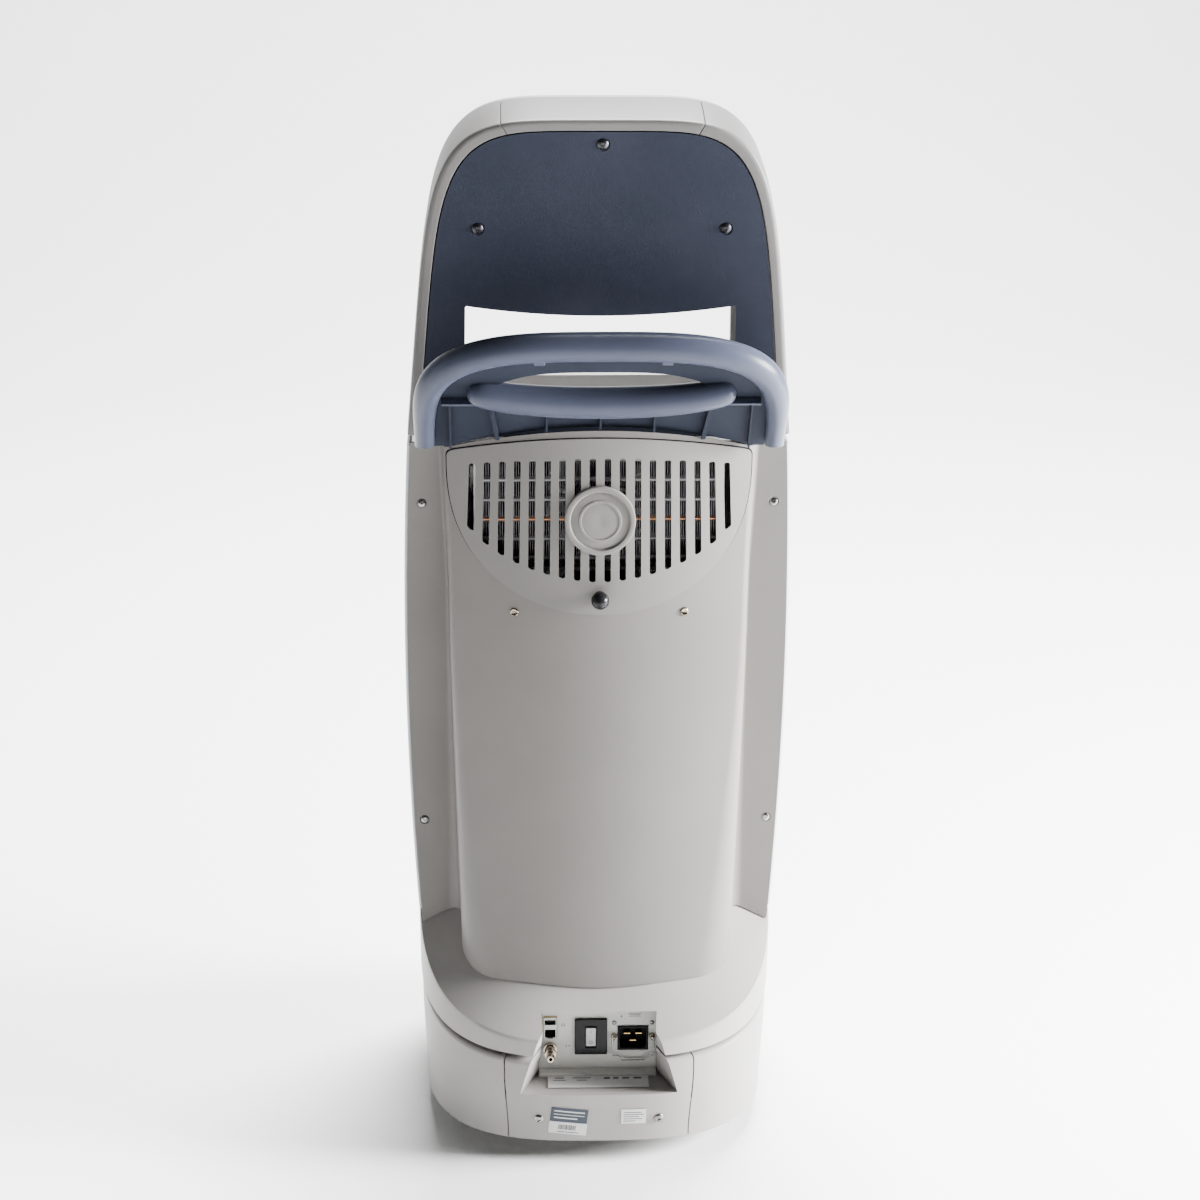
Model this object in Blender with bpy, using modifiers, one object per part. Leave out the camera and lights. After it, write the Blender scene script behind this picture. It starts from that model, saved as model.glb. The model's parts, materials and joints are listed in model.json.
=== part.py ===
"""Tall mobile oxygen concentrator: a tower of moulded covers on a steel chassis, on four hidden castors.

Metres, +Z up. The origin is on the floor, in the middle of the base. The rear, with the push handle,
the grille and the mains panel, faces -Y. The display and the outlet deck face +Y.
"""

import math

import bmesh
import bpy
from mathutils import Matrix, Vector

# Driving dimensions
WALL = 0.003  # moulded cover
SHUT = 0.0006  # shut line between neighbouring covers
TOUCH = 0.0003  # gap between pieces that rest on each other
PLAN_POWER = 3.0  # squareness of the base in plan

SKIRT_FOOT = (0.1935, 0.240, 0.026)  # half width, half depth, height of the skirt's lower edge
SKIRT_SHOULDER = (0.1985, 0.252)
SKIRT_INNER = (0.1870, 0.240)
TOE_LIFT = 0.020  # the skirt's edge is higher at the front, over the brake pedals
COLLAR_PLAN = (0.2005, 0.2505)
COLLAR_REAR_Z = 0.150
COLLAR_RISE = 0.43
COLLAR_DOME = 0.105
COLLAR_FLAT_Y = 0.060
LIP_REAR_Z = 0.130
LIP_RISE = 0.19
PANEL_HALF = 0.105  # half width of the middle skirt panels

TOWER_FOOT_Z = 0.232
FLANGE_TOP_Z = 0.797
FLANGE_FOOT_Y = -0.080
BULGE_FOOT_Y = -0.200
BULGE_TOP_Y = -0.180
BULGE_CROWN = 1.355  # depth of the crown is this times x squared
COVER_TOP_Z = 0.823
TOWER_HALF = 0.2121

HEAD_LEAN = math.radians(12)
HEAD_FOOT = (-0.1306, 0.800)  # y and z where the head's rear plane starts
HEAD_HALF, HEAD_HEIGHT, HEAD_TAPER = 0.2060, 0.3645, 0.082
HEAD_DEPTH = 0.085
RIM_FACE = 0.0115
WINDOW_HALF, WINDOW_TOP, WINDOW_ARCH, WINDOW_FOOT = 0.1425, 0.1460, 0.0115, 0.043

HANDLE_FOOT = Vector((0, -0.170, 0.825))
HANDLE_LEAN = math.radians(39.7)
BOW_T, GRIP_T = 0.144, 0.0513
BOW_RADIUS, BOW_FOOT_RADIUS, GRIP_RADIUS = 0.0155, 0.0105, 0.0170

RECESS_PLATE_Y, RECESS_FLOOR_Z = -0.185, 0.085
GRILLE_Z, GRILLE_HALF, GRILLE_ARCH = 0.8148, 0.1635, 0.0215
SLOT_PITCH, SLOT_WIDTH, SLOTS_A_SIDE = 0.0160, 0.0070, 9
CASTOR_X, CASTOR_Y, WHEEL_RADIUS, CASTOR_TRAIL = 0.110, 0.138, 0.025, 0.018
TRAY_Z, TRAY_THICK = 0.072, 0.005

COLOURS = {
    "warm_grey": (0.56, 0.545, 0.53, 0.55, 0.0),
    "white": (0.84, 0.835, 0.83, 0.45, 0.0),
    "pale_blue": (0.76, 0.80, 0.84, 0.50, 0.0),
    "navy": (0.045, 0.053, 0.085, 0.60, 0.0),
    "slate": (0.13, 0.15, 0.21, 0.42, 0.0),
    "black": (0.015, 0.015, 0.016, 0.30, 0.0),
    "rubber": (0.05, 0.05, 0.052, 0.80, 0.0),
    "steel": (0.62, 0.62, 0.60, 0.35, 1.0),
    "aluminium": (0.70, 0.70, 0.71, 0.45, 1.0),
    "plate": (0.60, 0.61, 0.58, 0.50, 0.3),
    "glass": (0.02, 0.03, 0.04, 0.08, 0.0),
    "clear": (0.80, 0.84, 0.86, 0.15, 0.0),
    "orange": (0.62, 0.16, 0.05, 0.40, 0.0),
    "board": (0.03, 0.20, 0.09, 0.50, 0.0),
    "copper": (0.72, 0.38, 0.22, 0.35, 1.0),
}


# ---- scene and materials

for leftover in list(bpy.data.objects):
    bpy.data.objects.remove(leftover, do_unlink=True)

parts = bpy.data.collections.new("oxygen_concentrator")
cutters = bpy.data.collections.new("cutters")
bpy.context.scene.collection.children.link(parts)
bpy.context.scene.collection.children.link(cutters)


def material(name):
    found = bpy.data.materials.get(name)
    if found:
        return found
    made = bpy.data.materials.new(name)
    made.use_nodes = True
    red, green, blue, roughness, metallic = COLOURS[name]
    shader = made.node_tree.nodes["Principled BSDF"]
    shader.inputs["Base Color"].default_value = (red, green, blue, 1)
    shader.inputs["Roughness"].default_value = roughness
    shader.inputs["Metallic"].default_value = metallic
    return made


def keep(obj, name, finish):
    """The object becomes a part with this name and finish."""
    obj.name = name
    obj.data.materials.clear()
    obj.data.materials.append(material(finish))
    for collection in list(obj.users_collection):
        collection.objects.unlink(obj)
    parts.objects.link(obj)
    return obj


def helper(obj):
    """The object only cuts or joins others."""
    for collection in list(obj.users_collection):
        collection.objects.unlink(obj)
    cutters.objects.link(obj)
    obj.hide_render = True
    obj.display_type = "WIRE"
    return obj


def new_object(mesh):
    made = bpy.data.objects.new(mesh.name, mesh)
    bpy.context.scene.collection.objects.link(made)
    return made


def baked(obj):
    """The object with its modifiers applied to its mesh."""
    graph = bpy.context.evaluated_depsgraph_get()
    mesh = bpy.data.meshes.new_from_object(obj.evaluated_get(graph))
    obj.modifiers.clear()
    old, obj.data = obj.data, mesh
    bpy.data.meshes.remove(old)
    return obj


def boolean(obj, operation, *others):
    for other in others:
        helper(other)
        step = obj.modifiers.new(operation.lower(), "BOOLEAN")
        step.operation = operation
        step.object = other
        step.solver = "EXACT"
        baked(obj)
    return obj


def smooth(obj, degrees=35):
    obj.data.shade_smooth()
    obj.data.set_sharp_from_angle(angle=math.radians(degrees))
    return obj


# ---- shapes

def box(low, high):
    bpy.ops.mesh.primitive_cube_add(size=1)
    made = bpy.context.object
    low, high = Vector(low), Vector(high)
    made.data.transform(Matrix.Translation((low + high) / 2) @ Matrix.Diagonal((*(high - low), 1)))
    return made


def bevelled(obj, width, segments=2, degrees=30):
    step = obj.modifiers.new("edge", "BEVEL")
    step.width, step.segments = width, segments
    step.limit_method, step.angle_limit = "ANGLE", math.radians(degrees)
    return baked(obj)


def cylinder(start, end, radius, sides=20, top_radius=None):
    start, end = Vector(start), Vector(end)
    mesh = bpy.data.meshes.new("cylinder")
    work = bmesh.new()
    bmesh.ops.create_cone(
        work, cap_ends=True, segments=sides, radius1=radius,
        radius2=radius if top_radius is None else top_radius, depth=(end - start).length,
    )
    turn = Vector((0, 0, 1)).rotation_difference(end - start).to_matrix().to_4x4()
    work.transform(Matrix.Translation((start + end) / 2) @ turn)
    work.to_mesh(mesh)
    work.free()
    return new_object(mesh)


def turned(profile, centre, axis, steps=24):
    """A closed profile of (radius, height) points, turned about the axis; it runs down its outer side."""
    mesh = bpy.data.meshes.new("turned")
    ring = profile[0] == profile[-1]
    points = profile[:-1] if ring else profile
    edges = [(i, i + 1) for i in range(len(points) - 1)] + ([(len(points) - 1, 0)] if ring else [])
    mesh.from_pydata([(r, 0, h) for r, h in points], edges, [])
    made = new_object(mesh)
    step = made.modifiers.new("turn", "SCREW")
    step.steps = step.render_steps = steps
    step.axis = "Z"
    step.use_merge_vertices = True
    step.merge_threshold = 0.00005
    step.use_smooth_shade = True
    baked(made)
    turn = Vector((0, 0, 1)).rotation_difference(Vector(axis)).to_matrix().to_4x4()
    made.data.transform(Matrix.Translation(centre) @ turn)
    return made


def tube(points, radius, radii=None, resolution=3, cyclic=False):
    """A bent round bar along the points, as a closed mesh."""
    curve = bpy.data.curves.new("tube", "CURVE")
    curve.dimensions = "3D"
    curve.bevel_depth = radius
    curve.bevel_resolution = resolution
    curve.use_fill_caps = True
    line = curve.splines.new("POLY")
    line.points.add(len(points) - 1)
    for i, point in enumerate(points):
        line.points[i].co = (*point, 1)
        line.points[i].radius = 1 if radii is None else radii[i] / radius
    line.use_cyclic_u = cyclic
    guide = new_object(curve)
    bpy.context.view_layer.update()
    mesh = bpy.data.meshes.new_from_object(guide.evaluated_get(bpy.context.evaluated_depsgraph_get()))
    bpy.data.objects.remove(guide)
    work = bmesh.new()
    work.from_mesh(mesh)
    bmesh.ops.remove_doubles(work, verts=work.verts, dist=0.00001)
    bmesh.ops.recalc_face_normals(work, faces=work.faces)
    work.to_mesh(mesh)
    work.free()
    return new_object(mesh)


def prism(outline, place):
    """A flat outline of (u, v) points between two places; place(u, v, side) gives a point, side 0 or 1."""
    count = len(outline)
    mesh = bpy.data.meshes.new("prism")
    points = [place(u, v, side) for side in (0, 1) for u, v in outline]
    faces = [tuple(range(count)), tuple(range(2 * count - 1, count - 1, -1))]
    faces += [(i, i + count, (i + 1) % count + count, (i + 1) % count) for i in range(count)]
    mesh.from_pydata(points, [], faces)
    work = bmesh.new()
    work.from_mesh(mesh)
    bmesh.ops.recalc_face_normals(work, faces=work.faces)
    work.to_mesh(mesh)
    work.free()
    return new_object(mesh)


def sheet(rows, thickness=WALL, closed=False):
    """A moulded shell: a lofted surface through rows of points, with its wall on the inner side.

    Rows run upwards and the points in a row run anticlockwise as seen from above, so faces point out.
    """
    across = len(rows[0])
    mesh = bpy.data.meshes.new("sheet")
    faces = []
    for r in range(len(rows) - 1):
        for c in range(across if closed else across - 1):
            d = (c + 1) % across
            faces.append((r * across + c, r * across + d, (r + 1) * across + d, (r + 1) * across + c))
    mesh.from_pydata([point for row in rows for point in row], [], faces)
    made = new_object(mesh)
    step = made.modifiers.new("wall", "SOLIDIFY")
    step.thickness = thickness
    step.offset = -1
    step.use_even_offset = True
    step.use_quality_normals = True
    return baked(made)


def filled(rows):
    """A closed solid through stacked closed rows, with flat ends."""
    across = len(rows[0])
    mesh = bpy.data.meshes.new("filled")
    faces = [tuple(range(across - 1, -1, -1)), tuple((len(rows) - 1) * across + c for c in range(across))]
    for r in range(len(rows) - 1):
        for c in range(across):
            d = (c + 1) % across
            faces.append((r * across + c, r * across + d, (r + 1) * across + d, (r + 1) * across + c))
    mesh.from_pydata([point for row in rows for point in row], [], faces)
    return new_object(mesh)


def ease(value, low, high):
    share = min(1, max(0, (value - low) / (high - low)))
    return share * share * (3 - 2 * share)


def spaced(low, high, count):
    return [low + (high - low) * i / (count - 1) for i in range(count)]


# ---- the base: skirt and collar share one plan

def plan_point(half_width, half_depth, angle):
    """A point of the base's plan at this angle from +X, anticlockwise."""
    c, s = math.cos(angle), math.sin(angle)
    reach = (abs(c / half_width) ** PLAN_POWER + abs(s / half_depth) ** PLAN_POWER) ** (-1 / PLAN_POWER)
    return c * reach, s * reach


def plan_share(x, y):
    """1 on the collar's edge, 0 in the middle of the base."""
    half_width, half_depth = COLLAR_PLAN
    return (abs(x / half_width) ** PLAN_POWER + abs(y / half_depth) ** PLAN_POWER) ** (1 / PLAN_POWER)


def lip_z(y):
    """Lower edge of the collar, over the skirt's shoulder."""
    return LIP_REAR_Z + LIP_RISE * (0.245 - min(0.245, max(abs(y), 0.02)))


def collar_z(x, y):
    """Upper face of the collar."""
    run = 0.245 - max(abs(y), COLLAR_FLAT_Y)
    return COLLAR_REAR_Z + COLLAR_RISE * run + COLLAR_DOME * (1 - min(1, plan_share(x, y)))


def foot_z(y):
    return SKIRT_FOOT[2] + TOE_LIFT * ease(y, 0.06, 0.19)


def skirt_rows(angles, inset=0.0012, foot_drop=0.0):
    foot_w, foot_d, _ = SKIRT_FOOT
    wide, deep = SKIRT_SHOULDER
    in_w, in_d = SKIRT_INNER
    rows = [[], [], [], [], [], []]
    for angle in angles:
        for row, (a, b, share, drop) in enumerate((
            (foot_w, foot_d, 0.0, 0), (0.5 * (foot_w + wide), 0.5 * (foot_d + deep), 0.45, 0),
            (wide, deep, 1.0, 0.016), (wide - 0.0012, deep - 0.0012, 1.0, 0.009),
            (wide - 0.005, deep - 0.005, 1.0, 0.0045), (in_w, in_d, 1.0, 0.0035),
        )):
            x, y = plan_point(a - inset, b - inset, angle)
            top = lip_z(y) - drop - inset
            foot = foot_z(y) - foot_drop
            rows[row].append((x, y, foot + (top - foot) * share))
    return rows


def panel_angle(front):
    """The plan angle at which the middle panel ends, on the +X side."""
    low, high = (0.0, math.pi / 2) if front else (-math.pi / 2, 0.0)
    for _ in range(40):
        middle = (low + high) / 2
        inside = plan_point(*SKIRT_SHOULDER, middle)[0] > PANEL_HALF
        if inside == front:
            low = middle
        else:
            high = middle
    return middle


def make_skirts():
    rear_edge = panel_angle(False)
    margin = SHUT / 0.25
    for side, name in ((1, "skirt_left"), (-1, "skirt_right")):
        # seen from the rear, the left skirt is on -X
        sweep = spaced(rear_edge + margin, math.pi / 2 - margin, 23)
        angles = [math.pi - a for a in reversed(sweep)] if side == 1 else sweep
        skirt = sheet(skirt_rows(angles))
        keep(smooth(skirt), name, "white")


RECESS_RIM = ((-0.0605, 0.190), (0.0605, 0.190), (0.0955, 0.0850), (-0.0955, 0.0850))
RECESS_BACK = ((-0.0665, 0.1600), (0.0665, 0.1600), (0.0665, 0.0850), (-0.0665, 0.0850))


def recess_frustum(grow, near=-0.262, far=RECESS_PLATE_Y):
    """The mains recess as a solid: it narrows from the outside in to the inlet plate."""
    points = [
        (x + math.copysign(grow, x), y, z + math.copysign(grow, z - 0.13))
        for shape, y in ((RECESS_BACK, far), (RECESS_RIM, near)) for x, z in shape
    ]
    # both slanting sides are split along the same diagonal, so the wall between two sizes stays even
    faces = [(0, 1, 2, 3), (7, 6, 5, 4), (0, 4, 5, 1), (2, 6, 7, 3), (1, 5, 2), (2, 5, 6), (0, 3, 4), (3, 7, 4)]
    mesh = bpy.data.meshes.new("recess")
    mesh.from_pydata(points, [], faces)
    work = bmesh.new()
    work.from_mesh(mesh)
    bmesh.ops.recalc_face_normals(work, faces=work.faces)
    work.to_mesh(mesh)
    work.free()
    return new_object(mesh)


def recess_back_hole():
    """Opens the liner's back onto the inlet plate."""
    (x, top), (_, foot) = RECESS_BACK[1], RECESS_BACK[2]
    return box((-x, RECESS_PLATE_Y - 0.0005, foot), (x, RECESS_PLATE_Y + 0.02, top))


def make_rear_skirt():
    """Middle panel of the skirt, with the lower half of the mains recess."""
    edge = panel_angle(False)
    margin = SHUT / 0.25
    angles = spaced(-math.pi - edge + margin, edge - margin, 9)
    panel = sheet(skirt_rows(angles))
    block_rows = [
        [(x, y, z) for x, y, z in row] + [(row[-1][0], -0.182, row[-1][2]), (row[0][0], -0.182, row[0][2])]
        for row in skirt_rows(angles, inset=0.0012, foot_drop=-0.03)
    ]
    block = filled(block_rows)
    liner = boolean(block, "INTERSECT", recess_frustum(WALL))
    panel = boolean(panel, "UNION", liner)
    panel = boolean(panel, "DIFFERENCE", recess_frustum(0.0), recess_back_hole())
    keep(smooth(panel), "skirt_rear_panel", "white")


def collar_rows(angles, shares, inset=0.0):
    rows = [[], []]
    for angle in angles:
        a, b = COLLAR_PLAN
        x, y = plan_point(a - 0.0035 - inset, b - 0.0035 - inset, angle)
        rows[0].append((x, y, lip_z(y) + 0.0006))
        x, y = plan_point(a - inset, b - inset, angle)
        rows[1].append((x, y, max(lip_z(y) + 0.004, collar_z(x, y) - 0.003 - inset)))
    for share in shares:
        rows.append([])
        for angle in angles:
            x, y = plan_point(COLLAR_PLAN[0] * share, COLLAR_PLAN[1] * share, angle)
            rows[-1].append((x, y, collar_z(x, y) - inset))
    return rows


def make_collar():
    angles = [2 * math.pi * i / 64 for i in range(64)]
    collar = sheet(collar_rows(angles, (0.985, 0.92, 0.84, 0.77, 0.74)), closed=True)
    rear = spaced(math.radians(-123), math.radians(-57), 13)
    rows = collar_rows(rear, (0.985, 0.92, 0.84, 0.77, 0.72), inset=0.0012)
    block = filled([
        [(x, y, lip_z(y) + 0.0006) for x, y, z in rows[-1]][::-1] + [(x, y, z) for x, y, z in rows[0]],
    ] + [
        [(x, y, z) for x, y, z in rows[-1]][::-1] + [(x, y, z) for x, y, z in row] for row in rows[1:-1]
    ])
    liner = boolean(block, "INTERSECT", recess_frustum(WALL))
    collar = boolean(collar, "UNION", liner)
    collar = boolean(collar, "DIFFERENCE", recess_frustum(0.0), recess_back_hole())
    keep(smooth(collar), "base_collar", "white")


# ---- the tower

def flange_y(z):
    rise = z - 0.24
    return FLANGE_FOOT_Y - 0.012 * rise - 0.125 * rise * abs(rise)


def tower_half(z):
    return TOWER_HALF - 0.11 * (z - 0.57) ** 2


def front_y(z):
    return 0.168 - 0.075 * (z - 0.24) ** 1.0 * (0.6 + 0.4 * (z - 0.24))


def bulge_y(x, z):
    """The rear bulge's face, before it turns in to the flanges."""
    share = (z - 0.19) / (COVER_TOP_Z - 0.19)
    return BULGE_FOOT_Y + (BULGE_TOP_Y - BULGE_FOOT_Y) * share + BULGE_CROWN * x * x


def bulge_edge(z):
    return 0.1665 + 0.0065 * ease(z, 0.62, 0.81)


def rear_top_z(x):
    return COVER_TOP_Z - 0.026 * (x / GRILLE_HALF) ** 2 if abs(x) < GRILLE_HALF else FLANGE_TOP_Z


def rear_section(z):
    """Half of the rear cover's section: crown, rounded corner, side wall, small inner curve and flange."""
    edge, flange = bulge_edge(z), flange_y(z)
    lean = math.atan(2 * BULGE_CROWN * (edge - CORNER_RADIUS))
    start = edge - CORNER_RADIUS
    points = [(start * i / 8, bulge_y(start * i / 8, z)) for i in range(8)]
    middle = (start - CORNER_RADIUS * math.sin(lean), bulge_y(start, z) + CORNER_RADIUS * math.cos(lean))
    for turn in spaced(lean, math.radians(86), 5):
        points.append((middle[0] + CORNER_RADIUS * math.sin(turn), middle[1] - CORNER_RADIUS * math.cos(turn)))
    wall = points[-1][0] + 0.0006
    for turn in spaced(math.radians(4), math.radians(90), 4):
        points.append((wall + FILLET_RADIUS * (1 - math.cos(turn)), flange - FILLET_RADIUS * (1 - math.sin(turn))))
    points += [(0.5 * (points[-1][0] + tower_half(z) - 0.0035), flange), (tower_half(z) - 0.0035, flange)]
    return points


CORNER_RADIUS, FILLET_RADIUS = 0.012, 0.005


def grille_outline(grow=0.0, steps=16):
    """The grille cover's outline: an arched top edge and a half-elliptic lower edge."""
    top, half, drop = GRILLE_Z, GRILLE_HALF + grow, 0.172 + grow
    side_z = top + grow - GRILLE_ARCH
    arch = [(x, top + grow - GRILLE_ARCH * (x / half) ** 2) for x in spaced(0.008 - half, half - 0.008, 10)]
    arch = [(-half, side_z - 0.006), (0.0022 - half, side_z - 0.0008)] + arch
    arch += [(half - 0.0022, side_z - 0.0008), (half, side_z - 0.006)]
    lower = [
        (half * math.cos(a), side_z - 0.006 - (drop - 0.006) * (abs(math.sin(a)) ** 0.80))
        for a in spaced(0, math.pi, 2 * steps)[1:-1]
    ]
    return arch + lower


def crown_slab(near, far, low=0.600, high=0.845, half=0.172):
    """A slab that follows the bulge's crowned face, between two depths behind it; near may be None for open."""
    columns = spaced(-half, half, 24)
    outline = [(x, BULGE_CROWN * x * x + far) for x in columns]
    outline += [(x, BULGE_CROWN * x * x + near if near is not None else -0.10) for x in reversed(columns)]
    return prism(outline, lambda u, v, side: (u, v + bulge_y(0, (low, high)[side]), (low, high)[side]))


def grille_shape(grow, near, far):
    """The grille cover's outline cut out of the crowned slab."""
    column = prism(grille_outline(grow), lambda u, v, side: (u, (-0.32, -0.10)[side], v))
    return boolean(column, "INTERSECT", crown_slab(near, far))


def make_rear_cover():
    count = len(rear_section(0.5))
    rows = []
    for share in (0, 0.05, 0.2, 0.4, 0.6, 0.72, 0.82, 0.92, 1):
        row = []
        for column in range(count):
            low = 0.2
            for _ in range(12):
                x, y = rear_section(low)[column]
                low = collar_z(x, y) + 0.0030
            high = rear_top_z(rear_section(0.8)[column][0])
            z = low + (high - low) * share
            row.append((*rear_section(z)[column], z))
        rows.append([(-x, y, z) for x, y, z in reversed(row[1:])] + row)
    cover = sheet(rows, 0.0026)
    hole = prism(grille_outline(-0.006), lambda u, v, side: (u, (-0.26, -0.12)[side], v))
    pocket = grille_shape(SHUT, None, 0.0017)
    cover = boolean(cover, "DIFFERENCE", pocket, hole)
    for x, z in flange_screws():
        y = flange_y(z)
        bore = cylinder((x, y - 0.02, z), (x, y + 0.02, z), 0.0032, 12)
        cover = boolean(cover, "DIFFERENCE", bore)
    keep(smooth(cover), "rear_cover", "warm_grey")


def flange_screws():
    return [(side * x, z) for x, z in ((0.1910, 0.7272), (0.1920, 0.3492)) for side in (-1, 1)]


def make_side_covers():
    shares = (0, 0.012, 0.04, 0.3, 0.7, 0.95, 0.985, 1)
    for side, name in ((-1, "side_cover_left"), (1, "side_cover_right")):
        rows = []
        for z in (TOWER_FOOT_Z + 0.007, 0.34, 0.45, 0.56, 0.67, 0.76, FLANGE_TOP_Z - 0.004):
            half = tower_half(z)
            back, front = flange_y(z) + 0.0032, front_y(z) - 0.0006
            row = []
            for share in shares:
                y = back + (front - back) * share
                ends = min(share, 1 - share) / 0.04
                x = half - (0.0 if ends >= 1 else 0.0028 * (1 - ends) ** 2)
                row.append((side * x, y, z))
            rows.append(row if side > 0 else row[::-1])
        cover = sheet(rows)
        keep(smooth(cover), name, "pale_blue")


def front_crown(share):
    """How far the front cover bows out at this share of its half width."""
    return 0.020 * (1 - share ** 2)


def make_front_cover():
    """The front cover: a shallow channel runs down its middle and fades out over the collar."""
    columns = [0, 0.3, 0.555, 0.61, 0.8, 0.93, 0.97, 0.995]
    columns = [-c for c in reversed(columns[1:])] + columns
    foot = []
    for c in columns:
        z = 0.22
        for _ in range(12):
            z = collar_z(c * (tower_half(z) - 0.0065), front_y(z) + front_crown(c)) + 0.0050
        foot.append(z)
    rows = []
    for share in (0, 0.06, 0.14, 0.3, 0.5, 0.7, 0.85, 1):
        row = []
        for c, low in zip(columns, foot):
            z = low + (0.772 - low) * share
            channel = 0.012 * (1 - ease(abs(c), 0.555, 0.61)) * ease(share, 0.0, 0.14)
            row.append((c * (tower_half(z) - 0.0065), front_y(z) + front_crown(c) - channel, z))
        rows.append(row[::-1])
    cover = sheet(rows)
    knob_hole = cylinder((0.0, 0.05, 0.68), (0.0, 0.2, 0.68), 0.0065, 16)
    button_hole = cylinder((0.06, 0.05, 0.68), (0.06, 0.2, 0.68), 0.0105, 16)
    keep(smooth(boolean(cover, "DIFFERENCE", knob_hole, button_hole)), "front_cover", "white")


# ---- the head, in its own leaning plane: u across, w up the plane, d forward from its rear face

def head_place(u, w, d):
    y, z = HEAD_FOOT
    s, c = math.sin(HEAD_LEAN), math.cos(HEAD_LEAN)
    return (u, y - w * s + d * c, z + w * c + d * s)


def head_edge(angle, inset=0.0):
    """The head's outline: a tapered superellipse. The angle runs from 0 on +X to pi on -X."""
    half, height = HEAD_HALF - inset, HEAD_HEIGHT - inset
    c, s = math.cos(angle), math.sin(angle)
    u = math.copysign(abs(c) ** (2 / 5.0), c)
    w = abs(s) ** (2 / 6.5)
    return u * (half - HEAD_TAPER * w * height), w * height


def head_angles(start, end, count):
    """Angles between start and end whose outline points are evenly spaced; both straight runs need most."""
    angles = [math.pi / 2 * i ** 3 / (i ** 3 + (2000 - i) ** 3) for i in range(2001)]
    angles += [math.pi - a for a in reversed(angles[:-1])]
    angles = [start] + [a for a in angles if start < a < end] + [end]
    fine = [head_edge(a) for a in angles]
    run = [0.0]
    for (u0, w0), (u1, w1) in zip(fine, fine[1:]):
        run.append(run[-1] + math.hypot(u1 - u0, w1 - w0))
    picked, chosen = 0, []
    for i in range(count):
        goal = run[-1] * i / (count - 1)
        while picked < len(run) - 1 and run[picked] < goal - 1e-9:
            picked += 1
        chosen.append(angles[picked])
    return chosen


def seam_angle():
    """Where the top rim piece meets the side pieces."""
    low, high = 0.3, math.pi / 2
    for _ in range(40):
        middle = (low + high) / 2
        if head_edge(middle)[0] > 0.105:
            low = middle
        else:
            high = middle
    return middle


def rim_rows(angles):
    """From the rear face's inner edge, over the chamfer, to the front."""
    steps = ((RIM_FACE, 0.0), (0.0035, 0.0), (0.0010, 0.0012), (0.0, 0.0040), (0.0, 0.040),
             (0.0015, HEAD_DEPTH - 0.012))
    rows = []
    for inset, depth in steps:
        rows.append([head_place(*head_edge(a, inset), depth) for a in angles])
    return rows[::-1]


RIM_FOOT = 0.000002


def make_head_rim():
    seam = seam_angle()
    gap = 0.003
    spans = {
        "head_rim_right": (RIM_FOOT, seam - gap, 23),
        "head_rim_top": (seam + gap, math.pi - seam - gap, 15),
        "head_rim_left": (math.pi - seam + gap, math.pi - RIM_FOOT, 23),
    }
    for name, (start, end, count) in spans.items():
        rim = sheet(rim_rows(head_angles(start, end, count)), thickness=0.0026)
        keep(smooth(rim), name, "warm_grey")


def window_outline(grow=0.0):
    half = WINDOW_HALF + grow
    top = [(u, WINDOW_TOP + grow + WINDOW_ARCH * (u / half) ** 2) for u in spaced(-half, half, 11)]
    return top + [(half + 0.0015, WINDOW_FOOT - grow), (-half - 0.0015, WINDOW_FOOT - grow)]


def head_panel(inset, near, far, count=65):
    """A plate in the head's plane, closed along the bottom."""
    angles = head_angles(0.0, math.pi, count)
    outline = [head_edge(a, inset) for a in angles]
    outline = [(u, max(w, 0.001)) for u, w in outline]
    return prism(outline, lambda u, w, side: head_place(u, w, (near, far)[side]))


def window_cutter(grow, near, far):
    return prism(window_outline(grow), lambda u, w, side: head_place(u, w, (near, far)[side]))


def below_cut():
    """Keeps the head's plates clear of the rear cover and the deck."""
    return box((-0.3, -0.3, 0.7), (0.3, 0.1, 0.8045))


def make_head():
    rear = head_panel(RIM_FACE + 2.5 * SHUT, 0.0006, 0.0036)
    rear = boolean(rear, "DIFFERENCE", window_cutter(0, -0.02, 0.03), below_cut())
    keep(smooth(rear), "head_rear_panel", "navy")

    bezel = head_panel(0.0042, HEAD_DEPTH - 0.0112, HEAD_DEPTH)
    screen = prism(
        [(-0.1225, 0.172), (0.1225, 0.172), (0.1225, 0.328), (-0.1225, 0.328)],
        lambda u, w, side: head_place(u, w, (HEAD_DEPTH - 0.0075, HEAD_DEPTH + 0.02)[side]),
    )
    bezel = boolean(bezel, "DIFFERENCE", window_cutter(0, 0.02, 0.12), screen, below_cut())
    keep(smooth(bezel), "head_front_bezel", "white")

    glass = prism(
        [(-0.1219, 0.1726), (0.1219, 0.1726), (0.1219, 0.3274), (-0.1219, 0.3274)],
        lambda u, w, side: head_place(u, w, (HEAD_DEPTH - 0.0072, HEAD_DEPTH - 0.0012)[side]),
    )
    keep(glass, "display", "glass")

    near, far = 0.0039, HEAD_DEPTH - 0.0116
    liner = boolean(window_cutter(0.0028, near, far), "DIFFERENCE", window_cutter(0.0004, -0.02, 0.12),
                    box((-0.137, -0.3, 0.7), (0.137, 0.2, 0.90)), below_cut())
    keep(smooth(liner), "window_liner", "black")


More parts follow.
